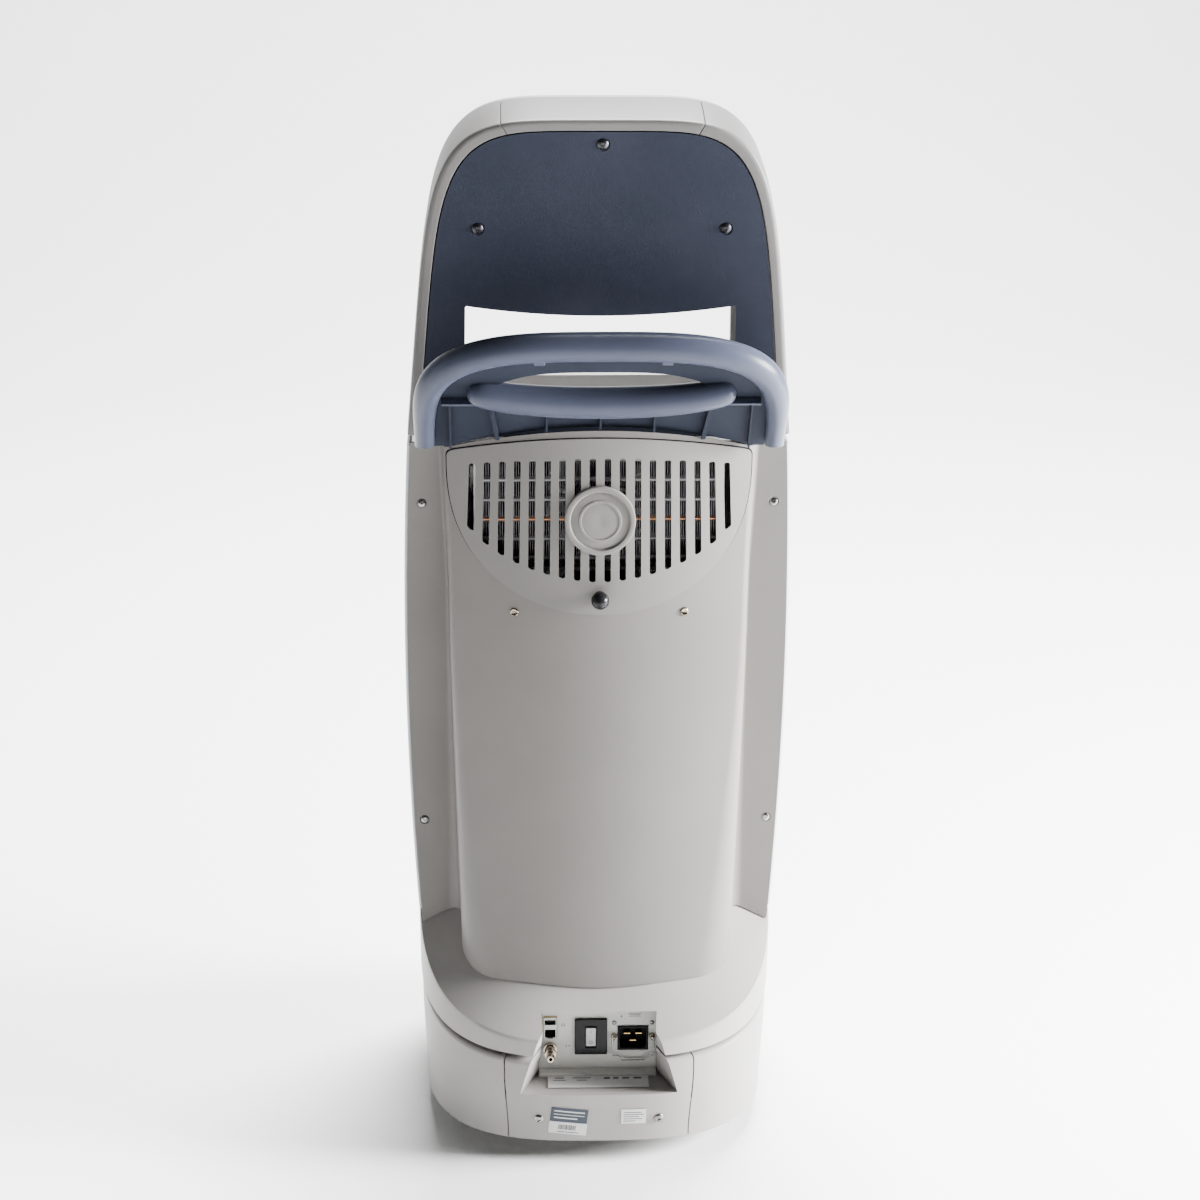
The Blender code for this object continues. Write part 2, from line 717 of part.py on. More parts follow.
def make_deck():
    """The top of the tower, under the window: a sloping tray with a cup for the humidifier."""
    outline = [(-0.1265, 0.8120), (-0.0450, 0.8120), (0.100, 0.7860), (0.160, 0.7753), (0.160, 0.7732),
               (0.098, 0.7815), (0.030, 0.7940), (-0.1265, 0.7985)]
    deck = prism(outline, lambda y, z, side: ((-0.203, 0.203)[side], y, z))
    plan = [(x, front_y(0.772) + front_crown(x / 0.203) + 0.0015) for x in spaced(-0.2005, 0.2005, 16)]
    plan += [(0.2005, -0.14), (-0.2005, -0.14)]
    deck = boolean(deck, "INTERSECT", prism(plan, lambda x, y, side: (x, y, (0.75, 0.85)[side])))
    cup = cylinder((*HUMIDIFIER_XY, 0.705), (*HUMIDIFIER_XY, 0.806), 0.0385, 28)
    well = cylinder((*HUMIDIFIER_XY, 0.708), (*HUMIDIFIER_XY, 0.86), 0.0358, 28)
    deck = boolean(deck, "UNION", cup)
    deck = boolean(deck, "DIFFERENCE", well)
    keep(smooth(deck), "top_deck", "white")


HUMIDIFIER_XY = (-0.118, 0.060)


def make_deck_fittings():
    x, y = HUMIDIFIER_XY
    bottle = turned(
        [(0, 0.862), (0.016, 0.862), (0.022, 0.858), (0.0245, 0.850), (0.0245, 0.838), (0.0345, 0.826),
         (0.0345, 0.712), (0.031, 0.7085), (0, 0.7085)],
        (x, y, 0), (0, 0, 1), 28,
    )
    keep(smooth(bottle), "humidifier_bottle", "clear")
    for name, place, finish, radius in (
        ("outlet_fitting", (-0.0775, 0.0880), "orange", 0.0052),
        ("test_port", (-0.0590, 0.0910), "aluminium", 0.0058),
    ):
        x, y = place
        foot = 0.7872 + (0.100 - y) * 0.2157 + 0.0022
        fitting = turned(
            [(0, 0.8235), (radius - 0.0015, 0.8235), (radius, 0.8215), (radius, foot + 0.006),
             (radius + 0.003, foot + 0.005), (radius + 0.003, foot), (0, foot)],
            (x, y, 0), (0, 0, 1), 16,
        )
        keep(smooth(fitting), name, finish)
    cradle = box((0.048, 0.060, 0.7985), (0.112, 0.096, 0.8255))
    cradle = bevelled(cradle, 0.003, 2)
    hollow = box((0.053, 0.065, 0.8035), (0.107, 0.091, 0.85))
    keep(smooth(boolean(cradle, "DIFFERENCE", hollow)), "accessory_cradle", "black")


# ---- the push handle, in its own leaning plane: x across, t up the plane, n towards the rear

def handle_place(x, t, n):
    s, c = math.sin(HANDLE_LEAN), math.cos(HANDLE_LEAN)
    return (x, HANDLE_FOOT.y - t * s - n * c, HANDLE_FOOT.z + t * c - n * s)


def bow_line(count=27):
    """Centre line of the bow: a nearly flat top, round shoulders and legs that run down to the flanges."""
    points = []
    for i in range(count):
        a = math.pi * i / (count - 1)
        c, s = math.cos(a), max(0.0, math.sin(a))
        x = 0.1865 * math.copysign(abs(c) ** 0.62, c)
        t = -0.024 + (BOW_T + 0.024) * s ** 0.50
        points.append((x, t))
    return points


def make_handle():
    line = bow_line()
    radii = [BOW_FOOT_RADIUS + (BOW_RADIUS - BOW_FOOT_RADIUS) * ease(t, -0.02, 0.12) for _, t in line]
    bow = tube([handle_place(x, t, 0.004) for x, t in line], BOW_RADIUS, radii, resolution=3)
    bow = boolean(bow, "DIFFERENCE", box((-0.3, -0.4, 0.7), (0.3, 0.0, 0.8010)))

    web = prism(outline_of_web(line), lambda x, t, side: handle_place(x, t, (-0.0045, -0.0005)[side]))
    hole = prism(hand_slot(), lambda x, t, side: handle_place(x, t, (-0.05, 0.05)[side]))
    grip_line = [(x, GRIP_T + 0.0075 * (x / 0.103) ** 2) for x in spaced(-0.1385, 0.1385, 15)]
    ends = [0.0050, 0.0090, 0.0125, 0.0152] + [GRIP_RADIUS] * 7 + [0.0152, 0.0125, 0.0090, 0.0050]
    grip = tube([handle_place(x, t, 0.006) for x, t in grip_line], GRIP_RADIUS, ends, resolution=3)
    ribs = [(x, 0.004, 0.050, 0.0011) for x in (-0.159, -0.057, 0.0, 0.057, 0.159)]
    ribs += [(x, 0.004, 0.050, 0.0022) for x in (-0.113, 0.113)]
    solids = [grip]
    for x, low, high, half in ribs:
        solids.append(prism([(x - half, low), (x + half, low), (x + half, high), (x - half, high)],
                            lambda u, t, side: handle_place(u, t, (-0.002, 0.0075)[side])))
    for side in (-1, 1):
        inner, outer = side * 0.128, side * 0.168
        low, high = min(inner, outer), max(inner, outer)
        solids.append(prism([(low, 0.0485), (high, 0.0485), (high, 0.0515), (low, 0.0515)],
                            lambda u, t, s: handle_place(u, t, (-0.002, 0.0085)[s])))
    core_solid = boolean(web, "DIFFERENCE", hole)
    core_solid = boolean(core_solid, "UNION", *solids)
    bow_room = tube([handle_place(x, t, 0.004) for x, t in line], BOW_RADIUS,
                    [r + TOUCH for r in radii], resolution=3)
    core_solid = boolean(core_solid, "DIFFERENCE", bow_room)
    keep(smooth(bow), "handle_bow", "slate")
    keep(smooth(core_solid), "handle_core", "slate")


def outline_of_web(line):
    upper = [(x, t) for x, t in line if t > 0.0]
    foot = [(x, (rear_top_z(x) + 0.0016 - HANDLE_FOOT.z) / math.cos(HANDLE_LEAN)) for x in spaced(-0.163, 0.163, 15)]
    foot = [(-0.176, foot[0][1])] + foot + [(0.176, foot[-1][1])]
    return upper + foot


def hand_slot():
    """The slot that the fingers go through: a lens under the bow, whose lower edge follows the grip."""
    half = 0.108
    columns = spaced(-half, half, 17)
    upper = [(x, 0.0945 - 0.020 * (abs(x) / half) ** 3.5) for x in columns]
    lower = [(x, 0.0620 + 0.0110 * (x / half) ** 2) for x in columns[::-1]]
    return upper + lower


# ---- grille cover and its knob

def make_grille_cover():
    plate = grille_shape(0.0, -0.0016, 0.0013)
    cuts = []
    middle_z = 0.7255
    for side in (-1, 1):
        for k in range(SLOTS_A_SIDE):
            x = side * (k + 0.5) * SLOT_PITCH
            top = 0.7935 - 0.012 * (x / 0.14) ** 2
            reach = abs(x + side * SLOT_WIDTH / 2) / 0.1600
            low = 0.6575 + 0.098 * (1 - math.sqrt(max(0.0, 1 - min(1, reach) ** 2)))
            fan = 1.018
            cuts.append(prism(
                [(x - SLOT_WIDTH / 2, top), (x + SLOT_WIDTH / 2, top),
                 (x * fan + SLOT_WIDTH / 2, low + (0.004 if side > 0 else 0) * k / 8),
                 (x * fan - SLOT_WIDTH / 2, low + (0.004 if side < 0 else 0) * k / 8)],
                lambda u, v, s: (u, (-0.26, -0.11)[s], v)))
    plate = boolean(plate, "DIFFERENCE", *cuts)
    y = bulge_y(0, middle_z)
    boss = cylinder((0, y + 0.0015, middle_z), (0, y - 0.0042, middle_z), 0.0380, 36)
    dish = cylinder((0, y - 0.0022, middle_z), (0, y - 0.02, middle_z), 0.0315, 36)
    boss = boolean(boss, "DIFFERENCE", dish)
    plate = boolean(plate, "UNION", boss)
    knob_y = bulge_y(0, KNOB_Z)
    bore = cylinder((0, knob_y - 0.03, KNOB_Z), (0, knob_y + 0.03, KNOB_Z), 0.0036, 16)
    plate = boolean(plate, "DIFFERENCE", bore)
    keep(smooth(plate), "grille_cover", "warm_grey")

    y = knob_y
    knob = turned(
        [(0, 0.0235), (0.0040, 0.0228), (0.0078, 0.0200), (0.0100, 0.0150), (0.0100, 0.0110),
         (0.0080, 0.0066), (0.0058, 0.0042), (0.0032, 0.0036), (0.0032, -0.0120), (0, -0.0120)],
        (0, y - 0.0006, KNOB_Z), (0, -1, 0), 20,
    )
    keep(smooth(knob), "cover_knob", "black")


KNOB_Z = 0.641


# ---- the mains panel

def make_inlet_panel():
    y = RECESS_PLATE_Y
    plate = box((-0.0660, y + 0.0003, 0.0885), (0.0660, y + 0.0021, 0.1595))
    ledge = box((-0.0655, y - 0.0150, 0.0854), (0.0655, y + 0.0021, 0.0890))
    plate = boolean(plate, "UNION", ledge)
    for centre, half_x, half_z in (((-0.0075, 0.1285), 0.0150, 0.0180), ((0.0395, 0.1260), 0.0168, 0.0140),
                                   ((-0.0530, 0.1390), 0.0078, 0.0136)):
        x, z = centre
        plate = boolean(plate, "DIFFERENCE",
                        box((x - half_x, y - 0.01, z - half_z), (x + half_x, y + 0.01, z + half_z)))
    port = cylinder((-0.0530, y - 0.01, 0.1135), (-0.0530, y + 0.01, 0.1135), 0.0052, 20)
    plate = boolean(plate, "DIFFERENCE", port)
    for x in (BAIL_X - BAIL_HALF, BAIL_X + BAIL_HALF):
        post = cylinder((x, y + 0.0012, BAIL_Z), (x, y - 0.0030, BAIL_Z), 0.0034, 14)
        eye = cylinder((x - 0.0011, y - 0.0052, BAIL_Z), (x + 0.0011, y - 0.0052, BAIL_Z), 0.0036, 14)
        plate = boolean(plate, "UNION", post, eye)
        hole = cylinder((x - 0.02, y - 0.0052, BAIL_Z), (x + 0.02, y - 0.0052, BAIL_Z), 0.0013, 12)
        limit = box((x - 0.004, y - 0.012, BAIL_Z - 0.006), (x + 0.004, y + 0.0, BAIL_Z + 0.006))
        plate = boolean(plate, "DIFFERENCE", boolean(hole, "INTERSECT", limit))
    keep(smooth(plate), "inlet_plate", "plate")

    x, z = -0.0075, 0.1285
    frame = bevelled(box((x - 0.0182, y - 0.0040, z - 0.0215), (x + 0.0182, y + 0.0000, z + 0.0215)), 0.0008, 1)
    body = box((x - 0.0144, y - 0.0010, z - 0.0174), (x + 0.0144, y + 0.0420, z + 0.0174))
    mouth = box((x - 0.0060, y - 0.03, z - 0.0132), (x + 0.0060, y + 0.0100, z + 0.0132))
    frame = boolean(boolean(frame, "UNION", body), "DIFFERENCE", mouth)
    keep(smooth(frame), "breaker_body", "black")
    rocker = prism(
        [(y - 0.0042, z + 0.0116), (y - 0.0062, z + 0.0112), (y - 0.0032, z), (y - 0.0034, z - 0.0112),
         (y - 0.0014, z - 0.0116), (y + 0.0055, z - 0.0030), (y + 0.0055, z + 0.0030)],
        lambda v, w, side: ((x - 0.0054, x + 0.0054)[side], v, w))
    keep(rocker, "breaker_rocker", "white")

    x, z = 0.0395, 0.1260
    inlet = box((x - 0.0164, y - 0.0012, z - 0.0136), (x + 0.0164, y + 0.0300, z + 0.0136))
    flange = bevelled(box((x - 0.0172, y - 0.0022, z - 0.0146), (x + 0.0172, y - 0.0002, z + 0.0146)), 0.0008, 1)
    inlet = boolean(inlet, "UNION", flange)
    mouth = bevelled(box((x - 0.0148, y - 0.03, z - 0.0120), (x + 0.0148, y + 0.0180, z + 0.0120)), 0.0025, 2, 60)
    inlet = boolean(inlet, "DIFFERENCE", mouth)
    blades = [box((x + dx - 0.0040, y + 0.0020, z + dz - 0.0010), (x + dx + 0.0040, y + 0.0200, z + dz + 0.0010))
              for dx, dz in ((-0.0065, 0.0040), (0.0065, 0.0040), (0.0, -0.0045))]
    keep(smooth(boolean(inlet, "UNION", *blades)), "mains_inlet", "black")

    x, z = -0.0530, 0.1390
    jack = box((x - 0.0075, y - 0.0022, z - 0.0132), (x + 0.0075, y + 0.0200, z + 0.0132))
    lan = box((x - 0.0058, y - 0.01, z - 0.0112), (x + 0.0058, y + 0.0120, z - 0.0020))
    usb = box((x - 0.0062, y - 0.01, z + 0.0040), (x + 0.0062, y + 0.0120, z + 0.0095))
    keep(boolean(jack, "DIFFERENCE", lan, usb), "network_jack", "steel")

    z = 0.1135
    port = turned(
        [(0.0020, 0.0300), (0.0040, 0.0300), (0.0046, 0.0270), (0.0034, 0.0262), (0.0046, 0.0230),
         (0.0034, 0.0222), (0.0034, 0.0190), (0.0064, 0.0185), (0.0064, 0.0075), (0.0078, 0.0070),
         (0.0078, 0.0003), (0.0049, 0.0000), (0.0049, -0.0150), (0.0020, -0.0150), (0.0020, 0.0300)],
        (x, y, z), (0, -1, 0), 20,
    )
    keep(smooth(port), "gas_port", "steel")


BAIL_X, BAIL_Z, BAIL_HALF = 0.0395, 0.1285, 0.0212


def make_bail():
    """The wire that holds the mains plug in: it hangs from two eyes beside the inlet."""
    y = RECESS_PLATE_Y - 0.0052
    path = [(-0.0170, 0.0), (-0.0232, 0.0), (-0.0232, -0.0200), (-0.0222, -0.0215), (-0.0165, -0.0222),
            (-0.0125, -0.0275), (0.0125, -0.0275), (0.0165, -0.0222), (0.0222, -0.0215), (0.0232, -0.0200),
            (0.0232, 0.0), (0.0170, 0.0)]
    path = [(-0.0184, 0.0)] + path[1:-1] + [(0.0184, 0.0)]
    wire = tube([(BAIL_X + x, y, BAIL_Z + dz) for x, dz in path], 0.0009, resolution=2)
    keep(smooth(wire), "retainer_bail", "steel")


# ---- inside: chassis and gas system

def make_chassis():
    tray_angles = [2 * math.pi * i / 40 for i in range(40)]
    low = [(*plan_point(0.176, 0.222, a), TRAY_Z) for a in tray_angles]
    tray = filled([low, [(x, y, TRAY_Z + TRAY_THICK) for x, y, _ in low]])
    for sx in (-1, 1):
        for sy in (-1, 1):
            tray = boolean(tray, "DIFFERENCE", cylinder((sx * CASTOR_X, sy * CASTOR_Y, 0),
                                                        (sx * CASTOR_X, sy * CASTOR_Y, 0.2), 0.0054, 16))
    keep(tray, "base_tray", "steel")

    foot = TRAY_Z + TRAY_THICK + TOUCH
    bars = []
    for sx in (-1, 1):
        for y0, y1, top in ((-0.066, -0.046, 0.755), (0.075, 0.095, 0.700)):
            x0, x1 = sorted((sx * 0.1250, sx * 0.1385))
            bars.append(box((x0, y0, foot), (x1, y1, top)))
        x0, x1 = sorted((sx * 0.1265, sx * 0.1395))
        for z in (foot, 0.330, 0.560, 0.684):
            bars.append(box((x0, -0.060, z), (x1, 0.090, z + 0.016)))
    for y in (-0.064, 0.077):
        for z in (0.332, 0.562, 0.6825):
            bars.append(box((-0.135, y, z), (0.135, y + 0.016, z + 0.012)))
    frame = boolean(bars[0], "UNION", *bars[1:])
    keep(frame, "chassis_frame", "steel")


def make_gas_system():
    """Compressor, two sieve beds, product tank, valves, filter, radiator and fan."""
    foot = TRAY_Z + TRAY_THICK + TOUCH
    motor = cylinder((-0.055, 0.010, foot + 0.075), (0.055, 0.010, foot + 0.075), 0.052, 28)
    heads = [cylinder((x, 0.010, foot + 0.075), (x, 0.010, foot + 0.170), 0.032, 24) for x in (-0.078, 0.078)]
    cases = [cylinder((x - 0.020, 0.010, foot + 0.075), (x + 0.020, 0.010, foot + 0.075), 0.046, 24)
             for x in (-0.078, 0.078)]
    feet = box((-0.100, -0.035, foot), (0.100, 0.055, foot + 0.034))
    keep(smooth(boolean(motor, "UNION", *heads, *cases, feet)), "compressor", "aluminium")

    for x, name in ((-0.078, "sieve_bed_left"), (0.078, "sieve_bed_right")):
        bed = turned(
            [(0, 0.640), (0.020, 0.640), (0.022, 0.628), (0.0465, 0.624), (0.0465, 0.612), (0.042, 0.610),
             (0.042, 0.368), (0.0465, 0.366), (0.0465, 0.354), (0.022, 0.350), (0.020, 0.349), (0, 0.349)],
            (x, 0.010, 0), (0, 0, 1), 24)
        keep(smooth(bed), name, "aluminium")
    tank = turned(
        [(0, 0.548), (0.012, 0.548), (0.014, 0.538), (0.026, 0.530), (0.030, 0.518), (0.030, 0.374),
         (0.026, 0.362), (0.012, 0.356), (0, 0.356)],
        (0, -0.095, 0), (0, 0, 1), 24)
    keep(smooth(tank), "product_tank", "aluminium")
    manifold = bevelled(box((-0.055, -0.046, 0.655), (0.055, 0.060, 0.682)), 0.002, 1)
    coils = [cylinder((x, 0.007, 0.668), (x, 0.007, 0.706), 0.014, 16) for x in (-0.033, 0.0, 0.033)]
    keep(smooth(boolean(manifold, "UNION", *coils)), "valve_manifold", "aluminium")
    intake = turned(
        [(0, 0.330), (0.010, 0.330), (0.010, 0.312), (0.030, 0.308), (0.034, 0.300), (0.034, 0.262),
         (0.030, 0.256), (0, 0.256)],
        (0, -0.110, 0), (0, 0, 1), 24)
    keep(smooth(intake), "intake_filter", "black")
    board = box((-0.120, 0.101, 0.400), (0.120, 0.1030, 0.620))
    chips = [box((-0.09 + 0.05 * i, 0.1025, 0.44 + 0.05 * (i % 3)), (-0.06 + 0.05 * i, 0.110, 0.47 + 0.05 * (i % 3)))
             for i in range(4)]
    keep(boolean(board, "UNION", *chips), "control_board", "board")
    supply = bevelled(box((-0.100, 0.070, foot), (0.100, 0.150, foot + 0.060)), 0.002, 1)
    keep(smooth(supply), "power_supply", "steel")


FAN_CENTRE = (0.0, -0.098, 0.7260)


def make_cooling():
    """A finned tube radiator behind the grille, with an axial fan that draws air through it."""
    low, high = 0.6580, 0.7960
    frame = box((-0.135, -0.1440, low), (0.135, -0.1220, high))
    fins = [box((-0.129, -0.16, low + 0.0045 + 0.0225 * i), (0.129, -0.1260, low + 0.0205 + 0.0225 * i))
            for i in range(6)]
    frame = boolean(frame, "DIFFERENCE", *fins)
    cores = [cylinder((x, -0.135, low + 0.002), (x, -0.135, high - 0.002), 0.0030, 8)
             for x in (-0.0865, -0.043, 0.0, 0.043, 0.0865)]
    keep(smooth(boolean(frame, "UNION", *cores)), "radiator", "copper")

    x, y, z = FAN_CENTRE
    shroud = box((-0.135, -0.1210, low), (0.135, -0.0850, high))
    bore = cylinder((x, -0.13, z), (x, -0.0, z), 0.0640, 36)
    shroud = boolean(shroud, "DIFFERENCE", bore)
    bars = [box((x - 0.066, -0.0890, z - 0.003), (x + 0.066, -0.0852, z + 0.003)),
            box((x - 0.003, -0.0890, z - 0.066), (x + 0.003, -0.0852, z + 0.066)),
            cylinder((x, -0.0890, z), (x, -0.0852, z), 0.019, 20)]
    keep(smooth(boolean(shroud, "UNION", *bars)), "fan_shroud", "black")

    hub = cylinder((x, -0.1150, z), (x, -0.0900, z), 0.0210, 24)
    blades = []
    for i in range(7):
        turn = 2 * math.pi * i / 7
        blade = box((0.015, -0.0012, -0.0100), (0.0615, 0.0012, 0.0100))
        blade.data.transform(Matrix.Rotation(math.radians(35), 4, "X"))
        blade.data.transform(Matrix.Rotation(math.radians(90), 4, "X"))
        blade.data.transform(Matrix.Translation((x, -0.1025, z)) @ Matrix.Rotation(turn, 4, "Y"))
        blades.append(blade)
    rotor = boolean(hub, "UNION", *blades)
    rotor.data.transform(Matrix.Translation((-x, -y, -z)))
    rotor.location = FAN_CENTRE
    keep(smooth(rotor), "fan_rotor", "black")


# ---- front controls, screws and castors

def make_controls():
    z = 0.68
    y = front_y(z) + 0.020 - 0.012
    knob = turned(
        [(0, 0.0190), (0.0125, 0.0190), (0.0140, 0.0175), (0.0150, 0.0012), (0.0058, 0.0012),
         (0.0058, -0.0120), (0, -0.0120)],
        (0, y, z), (0, 1, 0), 24)
    keep(smooth(knob), "flow_knob", "black")
    button = turned(
        [(0, 0.0045), (0.0085, 0.0045), (0.0098, 0.0030), (0.0098, -0.0120), (0, -0.0120)],
        (0.06, front_y(z) + 0.020 * (1 - 0.09) - 0.012, z), (0, 1, 0), 24)
    keep(smooth(button), "power_button", "slate")


def make_screws():
    names = ("rear_screw_upper_left", "rear_screw_upper_right", "rear_screw_lower_left", "rear_screw_lower_right")
    for name, (x, z) in zip(names, flange_screws()):
        y = flange_y(z)
        slope = Vector((0, -1, -(flange_y(z + 0.01) - flange_y(z - 0.01)) / 0.02)).normalized()
        screw = turned(
            [(0, 0.0019), (0.0022, 0.0017), (0.0038, 0.0009), (0.0042, 0.0004), (0.0022, 0.0004),
             (0.0022, -0.0085), (0, -0.0085)],
            (x, y - 0.0012, z), slope, 12)
        keep(smooth(screw), name, "steel")


def make_castors():
    top = TRAY_Z - TOUCH
    trail_way = {"front": -1, "rear": 1}
    for end, sy in (("front", 1), ("rear", -1)):
        for side, sx in (("left", -1), ("right", 1)):
            x, y = sx * CASTOR_X, sy * CASTOR_Y
            axle_y = y + trail_way[end] * CASTOR_TRAIL
            head = cylinder((x, y, top - 0.008), (x, y, top), 0.0190, 20)
            stem = cylinder((x, y, top - 0.004), (x, y, top + 0.014), 0.0050, 16)
            y0, y1 = sorted((y, axle_y))
            crown = box((x - 0.0165, y0 - 0.008, top - 0.0140), (x + 0.0165, y1 + 0.008, top - 0.0065))
            legs = [box((x + s * 0.0150 - 0.0015, axle_y - 0.008, WHEEL_RADIUS - 0.008),
                        (x + s * 0.0150 + 0.0015, axle_y + 0.008, top - 0.0080)) for s in (-1, 1)]
            axle = cylinder((x - 0.0150, axle_y, WHEEL_RADIUS), (x + 0.0150, axle_y, WHEEL_RADIUS), 0.0040, 14)
            fork = boolean(head, "UNION", stem, crown, *legs, axle)
            keep(smooth(fork), f"castor_fork_{end}_{side}", "steel")
            wheel = turned(
                [(0.0044, 0.0100), (0.0120, 0.0100), (0.0150, 0.0085), (0.0210, 0.0095), (0.0238, 0.0070),
                 (0.0250, 0.0030), (0.0250, -0.0030), (0.0238, -0.0070), (0.0210, -0.0095),
                 (0.0150, -0.0085), (0.0120, -0.0100), (0.0044, -0.0100), (0.0044, 0.0100)],
                (x, axle_y, WHEEL_RADIUS), (1, 0, 0), 24)
            keep(smooth(wheel), f"castor_wheel_{end}_{side}", "rubber")
            if end == "front":
                make_pedal(side, x, y)


def make_pedal(side, x, y):
    """A foot brake on the castor's leading side: it tips down on its pin to jam the wheel."""
    pin_y, pin_z = y + 0.0125, 0.0535
    pedal = prism(
        [(pin_y - 0.0030, pin_z - 0.0025), (pin_y + 0.0030, pin_z - 0.0040), (pin_y + 0.0260, 0.0390),
         (pin_y + 0.0275, 0.0405), (pin_y + 0.0050, pin_z + 0.0020), (pin_y - 0.0010, pin_z + 0.0030)],
        lambda v, w, s: ((x - 0.0115, x + 0.0115)[s], v, w))
    keep(pedal, f"brake_pedal_{side}", "slate")


make_skirts()
make_rear_skirt()
make_collar()
make_rear_cover()
make_side_covers()
make_front_cover()
make_head_rim()
make_head()
make_deck()
make_deck_fittings()
make_handle()
make_grille_cover()
make_inlet_panel()
make_bail()
make_chassis()
make_gas_system()
make_cooling()
make_controls()
make_screws()
make_castors()
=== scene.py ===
import json
import math

import bmesh
import bpy
from mathutils import Matrix, Vector


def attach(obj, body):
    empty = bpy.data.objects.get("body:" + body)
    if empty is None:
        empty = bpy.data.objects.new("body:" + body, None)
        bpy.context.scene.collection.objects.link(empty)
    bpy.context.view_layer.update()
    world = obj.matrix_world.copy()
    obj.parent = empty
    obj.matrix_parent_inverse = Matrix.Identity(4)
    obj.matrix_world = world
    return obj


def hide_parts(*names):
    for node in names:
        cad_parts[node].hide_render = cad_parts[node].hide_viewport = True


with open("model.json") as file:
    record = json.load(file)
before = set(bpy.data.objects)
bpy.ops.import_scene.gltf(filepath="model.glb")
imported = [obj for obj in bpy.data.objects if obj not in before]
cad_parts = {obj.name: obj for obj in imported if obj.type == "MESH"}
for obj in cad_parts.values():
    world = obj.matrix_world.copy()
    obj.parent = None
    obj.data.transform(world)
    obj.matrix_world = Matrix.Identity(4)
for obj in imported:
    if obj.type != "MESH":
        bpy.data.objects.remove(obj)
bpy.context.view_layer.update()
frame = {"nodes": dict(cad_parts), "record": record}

nodes = frame["nodes"]
record = frame["record"]

plan = {"power": 3.0, "foot": (0.1935, 0.240, 0.026), "shoulder": (0.1985, 0.252), "lipIn": (0.1870, 0.240),
        "toe": 0.020, "collar": (0.2005, 0.2505), "panelHalf": 0.105, "shut": 0.0006}
collar = {"rearZ": 0.150, "rise": 0.43, "dome": 0.105, "flatY": 0.060, "lipZ": 0.130, "lipRise": 0.19}
tower = {"half": 0.2121, "footZ": 0.232, "topZ": 0.797, "flangeFoot": -0.080, "bulgeFoot": -0.200,
         "bulgeTop": -0.180, "crown": 1.355, "coverTop": 0.823, "corner": 0.012, "fillet": 0.005, "wall": 0.0026}
head = {"lean": math.radians(12), "foot": (-0.1306, 0.800), "half": 0.2060, "height": 0.3645, "taper": 0.082,
        "depth": 0.085, "face": 0.0115, "windowHalf": 0.1425, "windowTop": 0.1460, "windowArch": 0.0115,
        "windowFoot": 0.043}
handle = {"foot": Vector((0, -0.170, 0.825)), "lean": math.radians(39.7), "bowT": 0.144}
recess = {"plateY": -0.185, "rimY": -0.2645, "rim": ((-0.0605, 0.190), (0.0605, 0.190), (0.0955, 0.0850),
                                                     (-0.0955, 0.0850)),
          "back": ((-0.0665, 0.1600), (0.0665, 0.1600), (0.0665, 0.0850), (-0.0665, 0.0850))}
grille = {"top": 0.8148, "half": 0.1635, "arch": 0.0215, "drop": 0.172, "pitch": 0.0160, "slot": 0.0070, "side": 9,
          "discZ": 0.7255, "knobZ": 0.641}


# materials

def nodeGroup(name, inputs, outputs):
    group = bpy.data.node_groups.new(name, "ShaderNodeTree")
    for label, kind, value in inputs:
        socket = group.interface.new_socket(label, in_out="INPUT", socket_type=kind)
        if value is not None:
            socket.default_value = value
    for label, kind in outputs:
        group.interface.new_socket(label, in_out="OUTPUT", socket_type=kind)
    return group, group.nodes.new("NodeGroupInput"), group.nodes.new("NodeGroupOutput")


